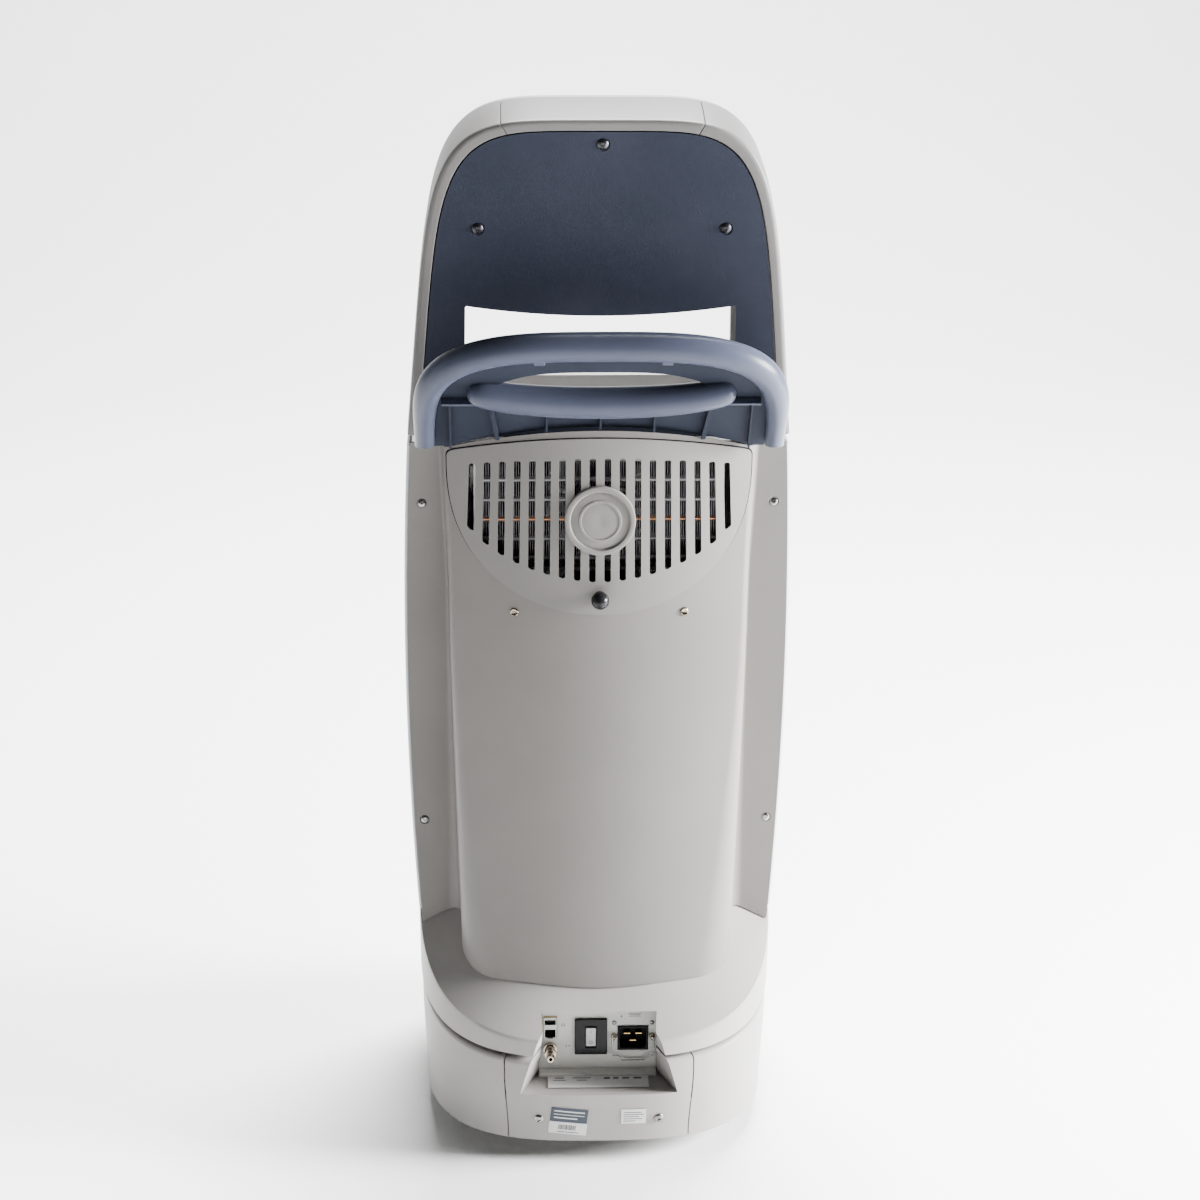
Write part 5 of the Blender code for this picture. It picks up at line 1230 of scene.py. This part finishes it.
    x, z = -0.0530, 0.1390
    jack = box("serviceJack", (x - 0.0075, y - 0.0022, z - 0.0132), (x + 0.0075, y + 0.0200, z + 0.0132))
    bevel(jack, 0.0006, 2)
    lan = prism("lan", [(x - 0.0058, z - 0.0112), (x - 0.0030, z - 0.0112), (x - 0.0030, z - 0.0120),
                        (x + 0.0030, z - 0.0120),
                        (x + 0.0030, z - 0.0112), (x + 0.0058, z - 0.0112), (x + 0.0058, z - 0.0020),
                        (x - 0.0058, z - 0.0020)], lambda u, v, s: (u, (y - 0.01, y + 0.0120)[s], v))
    usb = box("usb", (x - 0.0062, y - 0.01, z + 0.0040), (x + 0.0062, y + 0.0120, z + 0.0095))
    jack = boolean(jack, "DIFFERENCE", lan, usb)
    bevel(jack, 0.0003, 2, 40)
    finish(smooth(jack, 35), "zincSteel", "tower", "steel", "network_jack")
    tongue = box("usbTongue", (x - 0.0045, y + 0.0005, z + 0.0060), (x + 0.0045, y + 0.0110, z + 0.0076))
    bevel(tongue, 0.0002, 1)
    finish(tongue, "blackMatt", "tower", "black")
    insert = box("lanInsert", (x - 0.0055, y + 0.0100, z - 0.0109), (x + 0.0055, y + 0.0118, z - 0.0023))
    bevel(insert, 0.0002, 1)
    finish(insert, "blackMatt", "tower", "black")
    pins = [rod("pin", [(x - 0.0036 + 0.00103 * k, y + 0.0010, z - 0.0105),
                        (x - 0.0036 + 0.00103 * k, y + 0.0100, z - 0.0080)],
                0.00022, 6) for k in range(8)]
    finish(join("lanPins", pins), "brass", "tower", "steel")
    trim = []
    for x0, x1, z0, z1 in ((x - 0.0079, x - 0.0076, z - 0.0136, z + 0.0136),
                           (x - 0.0079, x + 0.0079, z + 0.0133, z + 0.0136)):
        trim.append(box("trim", (x0, y - 0.0012, z0), (x1, y + 0.0002, z1)))
    finish(join("jackSpring", trim), "brass", "tower", "steel")

    z = 0.1135
    port = turned("gasPort", [
        (0.0020, 0.0298), (0.0028, 0.0300), (0.0038, 0.0299), (0.0042, 0.0293), (0.0046, 0.0272), (0.0036, 0.0264),
        (0.0036, 0.0256), (0.0046, 0.0232), (0.0036, 0.0224), (0.0036, 0.0192), (0.0040, 0.0190), (0.0040, 0.0184),
        (0.0064, 0.0182), (0.0064, 0.0078), (0.0052, 0.0074), (0.0052, 0.0062), (0.0078, 0.0060), (0.0078, 0.0005),
        (0.0049, 0.0002), (0.0049, -0.0150), (0.0020, -0.0150), (0.0020, 0.0298)], (x, y, z), (0, -1, 0), 64)
    finish(port, "nickel", "tower", "steel", "gas_port")
    nut = prism("portNut", [(0.0076 * math.cos(math.radians(60 * k)), 0.0076 * math.sin(math.radians(60 * k)))
                            for k in range(6)],
                lambda u, v, s: (x + u, y - (0.0024, 0.0058)[s], z + v))
    hole = turned("hole", [(0, 0.02), (0.0050, 0.02), (0.0050, -0.02), (0, -0.02)], (x, y, z), (0, 1, 0), 32)
    boolean(nut, "DIFFERENCE", hole)
    bevel(nut, 0.0004, 2, 35)
    finish(smooth(nut, 35), "nickel", "tower", "steel")

    y = y - 0.0052
    path = [(-0.0184, 0.0), (-0.0232, 0.0), (-0.0232, -0.0200), (-0.0222, -0.0215), (-0.0165, -0.0222),
            (-0.0125, -0.0275), (0.0125, -0.0275), (0.0165, -0.0222), (0.0222, -0.0215), (0.0232, -0.0200),
            (0.0232, 0.0), (0.0184, 0.0)]
    points = rounded([(bail["x"] + px, y, bail["z"] + pz) for px, pz in path], 0.0022, 6)
    finish(rod("plugBail", points, 0.00085, 16), "zincSteel", "bail", "steel", "retainer_bail")
    for sign in (-1, 1):
        px = bail["x"] + sign * bail["half"]
        post = turned("bailPost", [(0, 0.0034), (0.0020, 0.0034), (0.0030, 0.0028), (0.0034, 0.0018), (0.0034, -0.0012),
                                   (0, -0.0012)], (px, recess["plateY"] - 0.0004, bail["z"]), (0, -1, 0), 32)
        lug = turned("lug", [(0.0013, 0.0010), (0.0030, 0.0010), (0.0034, 0.0006), (0.0034, -0.0006), (0.0030, -0.0010),
                             (0.0013, -0.0010), (0.0013, 0.0010)], (px, y, bail["z"]), (1, 0, 0), 32)
        pair = join("bailEyeLeft" if sign < 0 else "bailEyeRight", [post, lug])
        finish(smooth(pair, 35), "nickel", "tower", "steel")
    return floorLabel


floorLabel = makeInletPanel()
finish(floorLabel, "labelWhite", "tower", "white")
print("mains panel made")


# labels, icons and skirt screws

# point of the rear skirt's outer face at this x and z, and its outward normal
def skirtSurface(x, z):
    wide, deep = plan["shoulder"]
    footW, footD, _ = plan["foot"]

    def depthAt(px, pz):
        y = -footD
        for _ in range(12):
            top = lipZ(y) - 0.016
            s = min(1, max(0, (pz - footZ(y)) / (top - footZ(y))))
            bow = 0.5 - 0.5 * math.cos(math.pi * s ** 0.85)
            a, b = footW + (wide - footW) * bow - 0.001, footD + (deep - footD) * bow - 0.001
            y = -b * (1 - abs(px / a) ** 3) ** (1 / 3)
        return y

    y = depthAt(x, z)
    slopeX = (depthAt(x + 0.001, z) - depthAt(x - 0.001, z)) / 0.002
    slopeZ = (depthAt(x, z + 0.001) - depthAt(x, z - 0.001)) / 0.002
    return Vector((x, y, z)), Vector((slopeX, -1, slopeZ)).normalized()


# a thin sticker that follows the skirt's face; the same patch also makes the painted seam shadows
def skirtPatch(name, centre, size, turn, material, proud=0.00016, thick=0.00012, cells=(16, 8)):
    c, s = math.cos(turn), math.sin(turn)
    rows = []
    for v in spaced(-size[1] / 2, size[1] / 2, cells[1]):
        row = []
        for u in spaced(-size[0] / 2, size[0] / 2, cells[0]):
            point, normal = skirtSurface(centre[0] + u * c - v * s, centre[1] + u * s + v * c)
            row.append(tuple(point + normal * proud))
        rows.append(row)
    verts, faces = grid(rows)
    patch = fromData(name, verts, faces, tidy=False)
    step = patch.modifiers.new("wall", "SOLIDIFY")
    step.thickness = thick
    step.offset = -1
    bake(patch)
    return finish(smooth(patch, 40), material, "tower", "white")


def makeLabels():
    tilt = math.radians(-6)
    skirtPatch("darkLabel", (-0.0330, 0.0590), (0.0410, 0.0185), tilt, "labelDark")
    c, s = math.cos(tilt), math.sin(tilt)
    for index, (u, v, w, h) in enumerate(((0.0000, 0.0048, 0.0340, 0.0014), (-0.0035, -0.0040, 0.0260, 0.0014),
                                         (0.0, 0.0004, 0.0340, 0.0007))):
        skirtPatch(f"darkLabelLine{index}", (-0.0330 + u * c - v * s, 0.0590 + u * s + v * c), (w, h), tilt,
                   "labelWhite",
                   0.00026, 0.0001, (16, 2))
    skirtPatch("barLabel", (-0.0345, 0.0420), (0.0420, 0.0150), tilt * 0.9, "labelWhite", 0.00022)
    wide = -0.0105
    for k, w in enumerate((2, 1, 1, 3, 1, 2, 1, 1, 2, 3, 1, 1, 2, 1, 3, 1, 1, 2, 1, 2)):
        width = 0.00033 * w
        skirtPatch(f"bar{k}", (-0.0345 + wide + width / 2, 0.0432 - (wide + width / 2) * 0.094), (width, 0.0064),
                   tilt * 0.9,
                   "labelInk", 0.00032, 0.0001, (2, 3))
        wide += width + 0.00045
    skirtPatch("barLine", (-0.0345, 0.0370), (0.0240, 0.0009), tilt * 0.9, "labelInk", 0.00032, 0.0001, (10, 2))
    skirtPatch("noteLabel", (0.0385, 0.0570), (0.0275, 0.0190), 0.0, "labelWhite")
    for k, (v, w) in enumerate(((0.0052, 0.0200), (0.0024, 0.0225), (-0.0004, 0.0170), (-0.0032, 0.0210),
                                (-0.0060, 0.0130))):
        skirtPatch(f"noteLine{k}", (0.0385 - (0.0225 - w) / 2, 0.0570 + v), (w, 0.0009), 0.0, "labelInk", 0.00026,
                   0.0001, (10, 2))
    for side in (-1, 1):
        # painted shadow: a near-black strip sunk into each gap between the rear panel and the side skirts, standing in
        # for the shade in the gap
        skirtPatch("skirtSeamShadowLeft" if side < 0 else "skirtSeamShadowRight", (side * plan["panelHalf"], 0.0690),
                   (0.0030, 0.0600),
                   0.0, "seamShadowAndLinerBlack", -0.0008, 0.0016, (3, 12))
        point, normal = skirtSurface(side * 0.0665, 0.0534)
        screwHead("skirtScrewLeft" if side < 0 else "skirtScrewRight", point + normal * 0.0002, normal, 0.0055, 0.0026,
                  (0.0025, 0.004), 3, "zincSteel", "tower", "steel")

    y = recess["plateY"]
    front = y + 0.0003
    plates = (("plateLabel", 0.0415, 0.1535, 0.0185, 0.0078, "labelWhite"),
              ("plateIcon", 0.0265, 0.1510, 0.0060, 0.0060, "labelWhite"),
              ("jackIcon", -0.0385, 0.1420, 0.0070, 0.0070, "labelWhite"),
              ("portIcon", -0.0330, 0.1165, 0.0085, 0.0066, "labelWhite"))
    for name, x, z, w, h, look in plates:
        made = box(name, (x - w / 2, front - 0.00022, z - h / 2), (x + w / 2, front - 0.00004, z + h / 2))
        bevel(made, 0.00006, 1, 40)
        finish(made, look, "tower", "white")
    marks = []
    for x, z, w, h in ((0.0415, 0.1552, 0.0150, 0.0007), (0.0415, 0.1535, 0.0120, 0.0007),
                       (0.0415, 0.1518, 0.0140, 0.0007),
                       (0.0265, 0.1510, 0.0032, 0.0008), (0.0265, 0.1524, 0.0008, 0.0022),
                       (-0.0385, 0.1430, 0.0036, 0.0008),
                       (-0.0400, 0.1410, 0.0014, 0.0014), (-0.0370, 0.1410, 0.0014, 0.0014),
                       (-0.0350, 0.1165, 0.0008, 0.0040),
                       (-0.0318, 0.1165, 0.0030, 0.0008)):
        marks.append(box("mark", (x - w / 2, front - 0.00032, z - h / 2), (x + w / 2, front - 0.00023, z + h / 2)))
    finish(join("panelMarks", marks), "labelInk", "tower", "black")
    marks = []
    for k, (dx, dy, w, d) in enumerate(((-0.043, -0.020, 0.010, 0.0022), (-0.043, -0.026, 0.014, 0.0014),
                                        (-0.018, -0.020, 0.020, 0.0018),
                                       (-0.018, -0.026, 0.012, 0.0014), (0.010, -0.021, 0.007, 0.0034),
                                       (0.020, -0.021, 0.006, 0.0030), (0.031, -0.021, 0.008, 0.0030),
                                       (0.044, -0.021, 0.009, 0.0030))):
        marks.append(box("mark", (dx - w / 2, y + dy - d / 2, 0.08641), (dx + w / 2, y + dy + d / 2, 0.08650)))
    finish(join("floorMarks", marks), "labelInk", "tower", "black")
    screws = ((0.0185, 0.1440), (0.0605, 0.1440), (0.0185, 0.1080), (0.0605, 0.1080))
    for index, (x, z) in enumerate(screws[:2]):
        screwHead(f"inletScrew{index}", (x, front - 0.0001, z), (0, -1, 0), 0.0027, 0.0014, (0.0012, 0.003), 4,
                  "zincSteel",
                  "tower", "steel")


makeLabels()
print("labels made")


# front controls, fan, castors and the inside

def makeControls():
    z = 0.68
    y = frontY(z) + 0.020 - 0.012
    profile = [(0, 0.0186), (0.0105, 0.0186), (0.0122, 0.0190), (0.0132, 0.0186), (0.0140, 0.0176), (0.0146, 0.0120),
               (0.0150, 0.0040), (0.0150, 0.0013), (0.0058, 0.0012), (0.0058, -0.0120), (0, -0.0120)]
    knob = turned("flowKnob", profile, (0, y, z), (0, 1, 0), 96)
    cuts = []
    for k in range(24):
        a = 2 * math.pi * (k + 0.5) / 24
        cuts.append(rod("flute", [(0.0156 * math.cos(a), y + 0.0030, z + 0.0156 * math.sin(a)),
                                  (0.0152 * math.cos(a), y + 0.0200, z + 0.0152 * math.sin(a))], 0.0011, 10))
    boolean(knob, "DIFFERENCE", join("flutes", cuts))
    bevel(knob, 0.0002, 2, 40)
    finish(smooth(knob, 38), "blackMatt", "flow_knob", "black", "flow_knob")
    pointer = box("flowPointer", (-0.0006, y + 0.0184, z + 0.0030), (0.0006, y + 0.01882, z + 0.0100))
    finish(pointer, "labelWhite", "flow_knob", "white")
    ticks = []
    for k in range(11):
        a = math.radians(-135 + 27 * k + 90)
        c, s = math.cos(a), math.sin(a)
        ticks.append(prism("tick", [(0.0180 * c - 0.0003 * s, z + 0.0180 * s + 0.0003 * c),
                                    (0.0215 * c - 0.0003 * s, z + 0.0215 * s + 0.0003 * c),
                                    (0.0215 * c + 0.0003 * s, z + 0.0215 * s - 0.0003 * c),
                                    (0.0180 * c + 0.0003 * s, z + 0.0180 * s - 0.0003 * c)],
                           lambda u, v, side: (u, frontY(v) + 0.020 * (1 - (u / (towerHalf(v) - 0.0065)) ** 2) - 0.012
                                               + (-0.0001, 0.0002)[side], v)))
    finish(join("flowTicks", ticks), "labelInk", "tower", "black")
    by = frontY(z) + 0.020 * (1 - 0.09) - 0.012
    button = turned("powerButton", [(0, 0.0040), (0.0050, 0.0041), (0.0078, 0.0044), (0.0088, 0.0043), (0.0096, 0.0034),
                                    (0.0098, 0.0024), (0.0098, -0.0120), (0, -0.0120)], (0.06, by, z), (0, 1, 0), 72)
    finish(button, "handleSlate", "power_button", "slate", "power_button")
    ring = []
    for a in spaced(math.radians(120), math.radians(420), 24):
        ring.append((0.06 + 0.0042 * math.cos(a), by + 0.0044, z + 0.0042 * math.sin(a)))
    finish(rod("powerRing", ring, 0.00035, 8), "labelWhite", "power_button", "white")
    finish(rod("powerBar", [(0.06, by + 0.0044, z + 0.0020), (0.06, by + 0.0044, z + 0.0056)], 0.00035, 8),
           "labelWhite",
           "power_button", "white")


castor = {"x": 0.110, "y": 0.138, "trail": 0.018, "radius": 0.025, "top": 0.0717}


def makeCastors():
    for end, sy in (("front", 1), ("rear", -1)):
        for sideName, sx in (("left", -1), ("right", 1)):
            x, y = sx * castor["x"], sy * castor["y"]
            axleY = y + (-1 if end == "front" else 1) * castor["trail"]
            key = f"{end}_{sideName}"
            tag = f"{end.capitalize()}{sideName.capitalize()}"
            r = castor["radius"]
            tread = []
            for s in spaced(-1, 1, 17):
                tread.append((r - 0.0022 * abs(s) ** 3, 0.0072 * s))
            tyre = turned("tyre" + tag, [(0.0175, -0.0078)] + tread + [(0.0175, 0.0078), (0.0175, -0.0078)],
                          (x, axleY, r), (1, 0, 0), 96, 50)
            finish(tyre, "tyreRubber", f"wheel_{key}", "rubber", f"castor_wheel_{key}")
            hub = turned("hub" + tag, [(0.0044, 0.0100), (0.0078, 0.0100), (0.0086, 0.0092), (0.0090, 0.0050),
                                       (0.0150, 0.0046), (0.0165, 0.0078), (0.0178, 0.0080), (0.0178, -0.0080),
                                       (0.0165, -0.0078), (0.0150, -0.0046), (0.0090, -0.0050), (0.0086, -0.0092),
                                       (0.0078, -0.0100), (0.0044, -0.0100), (0.0044, 0.0100)], (x, axleY, r),
                                       (1, 0, 0), 72)
            finish(hub, "greyCap", f"wheel_{key}", "rubber")
            top = castor["top"]
            head0 = turned("head", [(0, 0.0), (0.0186, 0.0), (0.0190, -0.0006), (0.0190, -0.0030), (0.0175, -0.0040),
                                    (0.0175, -0.0050), (0.0190, -0.0056), (0.0190, -0.0080), (0, -0.0080)], (x, y, top),
                                    (0, 0, 1), 64)
            stem = turned("stem", [(0, 0.0140), (0.0044, 0.0140), (0.0050, 0.0134), (0.0050, -0.0040), (0, -0.0040)],
                          (x, y, top), (0, 0, 1), 32)
            y0, y1 = sorted((y, axleY))
            crown = box("crown", (x - 0.0165, y0 - 0.008, top - 0.0140), (x + 0.0165, y1 + 0.008, top - 0.0065))
            legs = []
            for s in (-1, 1):
                outline = [(axleY - 0.0078, top - 0.0080), (axleY + 0.0078, top - 0.0080)]
                outline += [(axleY + 0.0078 * math.cos(a), r + 0.0078 * math.sin(a)) for a in spaced(0, -math.pi, 16)]
                legs.append(prism("leg", outline, lambda u, v, side: (x + s * 0.0150 + (-0.0015, 0.0015)[side], u, v)))
            axle = turned("axle", [(0, 0.0168), (0.0030, 0.0168), (0.0036, 0.0164), (0.0040, 0.0150), (0.0040, -0.0150),
                                   (0.0036, -0.0164), (0.0030, -0.0168), (0, -0.0168)], (x, axleY, r), (1, 0, 0), 32)
            fork = boolean(head0, "UNION", stem, crown, *legs, axle)
            bevel(fork, 0.0007, 2, 35)
            fork.name = "fork" + tag
            finish(smooth(fork, 35), "zincSteel", f"castor_{key}", "steel", f"castor_fork_{key}")


def makePedals():
    for sideName, sx in (("left", -1), ("right", 1)):
        x, y = sx * castor["x"], castor["y"]
        pinY, pinZ = y + 0.0125, 0.0535
        outline = [(pinY - 0.0030, pinZ - 0.0025), (pinY + 0.0030, pinZ - 0.0040), (pinY + 0.0260, 0.0392),
                   (pinY + 0.0273, 0.0405), (pinY + 0.0050, pinZ + 0.0019), (pinY - 0.0010, pinZ + 0.0029)]
        pedal = prism("brakePedal" + sideName.capitalize(), outline,
                      lambda v, w, s: ((x - 0.0114, x + 0.0114)[s], v, w))
        bevel(pedal, 0.0009, 3, 25)
        finish(smooth(pedal, 40), "handleSlate", f"brake_{sideName}", "slate", f"brake_pedal_{sideName}")


inside = {"base_tray": "zincSteel", "chassis_frame": "zincSteel", "compressor": "castAluminium",
          "sieve_bed_left": "castAluminium", "sieve_bed_right": "castAluminium", "product_tank": "castAluminium",
          "valve_manifold": "castAluminium", "intake_filter": "blackMatt", "control_board": "boardGreen",
          "power_supply": "zincSteel", "fan_shroud": "blackMatt", "fan_rotor": "blackMatt"}


def dressInside():
    for name, look in inside.items():
        obj = nodes[name]
        obj.data.materials.clear()
        obj.data.materials.append(materials[look])


makeControls()
makeCastors()
makePedals()
dressInside()
print("controls, castors and inside made")


# floor, light and camera

studio = {
    "sweepRadius": 2.5, "sweepY": 3.4,
    "sky": (0.95, 0.97, 1.0, 1), "skyStrength": 0.12,
    # place, aim, width and power of each lamp
    "lamps": {"key": ((2.8, -0.40, 1.15), (0, -0.20, 0.65), 1.3, 800.0),
              "side": ((1.15, -0.60, 0.75), (0.19, -0.09, 0.55), 0.5, 11.0),
              "top": ((0.5, 1.9, 4.4), (0.15, 0.8, 0), 2.4, 1250.0),
              "fill": ((-2.8, -0.60, 1.0), (0, -0.15, 0.6), 1.6, 6.0)},
}


def makeFloorMaterial():
    made = bpy.data.materials.new("studioFloor")
    made.use_nodes = True
    tree = made.node_tree
    shader = tree.nodes["Principled BSDF"]
    coords = tree.nodes.new("ShaderNodeTexCoord")
    noise = tree.nodes.new("ShaderNodeTexNoise")
    noise.inputs["Scale"].default_value = 1.5
    tree.links.new(coords.outputs["Object"], noise.inputs["Vector"])
    mix = tree.nodes.new("ShaderNodeMix")
    mix.data_type = "RGBA"
    mix.inputs["A"].default_value = (0.90, 0.90, 0.895, 1)
    mix.inputs["B"].default_value = (0.88, 0.88, 0.875, 1)
    tree.links.new(noise.outputs["Fac"], mix.inputs["Factor"])
    tree.links.new(mix.outputs["Result"], shader.inputs["Base Color"])
    shader.inputs["Roughness"].default_value = 0.65
    shader.inputs["Specular IOR Level"].default_value = 0.25
    return made


def makeStage():
    rows = []
    radius, back = studio["sweepRadius"], studio["sweepY"]
    line = [(-6.0, 0.0), (back, 0.0)]
    line += [(back + radius * math.sin(a), radius * (1 - math.cos(a))) for a in spaced(0.1, math.pi / 2, 14)]
    line += [(back + radius, radius + 4.0)]
    for y, z in line:
        rows.append([(x, y, z) for x in (-9.0, 9.0)])
    verts, faces = grid(rows)
    floor = fromData("studioFloor", verts, faces, tidy=False)
    floor.data.shade_smooth()
    floor.data.materials.append(makeFloorMaterial())
    world = bpy.data.worlds.new("studio")
    bpy.context.scene.world = world
    world.use_nodes = True
    sky = world.node_tree.nodes["Background"]
    sky.inputs["Color"].default_value = studio["sky"]
    sky.inputs["Strength"].default_value = studio["skyStrength"]
    for name, (place, aim, size, power) in studio["lamps"].items():
        data = bpy.data.lights.new(name, "AREA")
        data.shape = "DISK"
        data.size = size
        data.energy = power
        lamp = bpy.data.objects.new(name, data)
        bpy.context.scene.collection.objects.link(lamp)
        lamp.location = place
        lamp.rotation_euler = (Vector(aim) - Vector(place)).to_track_quat("-Z", "Y").to_euler()


def makeCamera():
    data = bpy.data.cameras.new("camera")
    data.sensor_width = 36.0
    data.lens = 3360.0 / 1200 * 36.0
    data.clip_end = 60
    view = bpy.data.objects.new("camera", data)
    bpy.context.scene.collection.objects.link(view)
    turn = (Matrix.Rotation(math.radians(-2.0), 3, "Z") @ Matrix.Rotation(math.radians(90 - 17.0), 3, "X")
            @ Matrix.Rotation(math.radians(0.3), 3, "Z"))
    view.rotation_euler = turn.to_euler()
    view.location = Vector((0, -0.19, 0.639)) + turn @ Vector((0, 0, 3.6))
    bpy.context.scene.camera = view


makeStage()
makeCamera()
print("stage made")
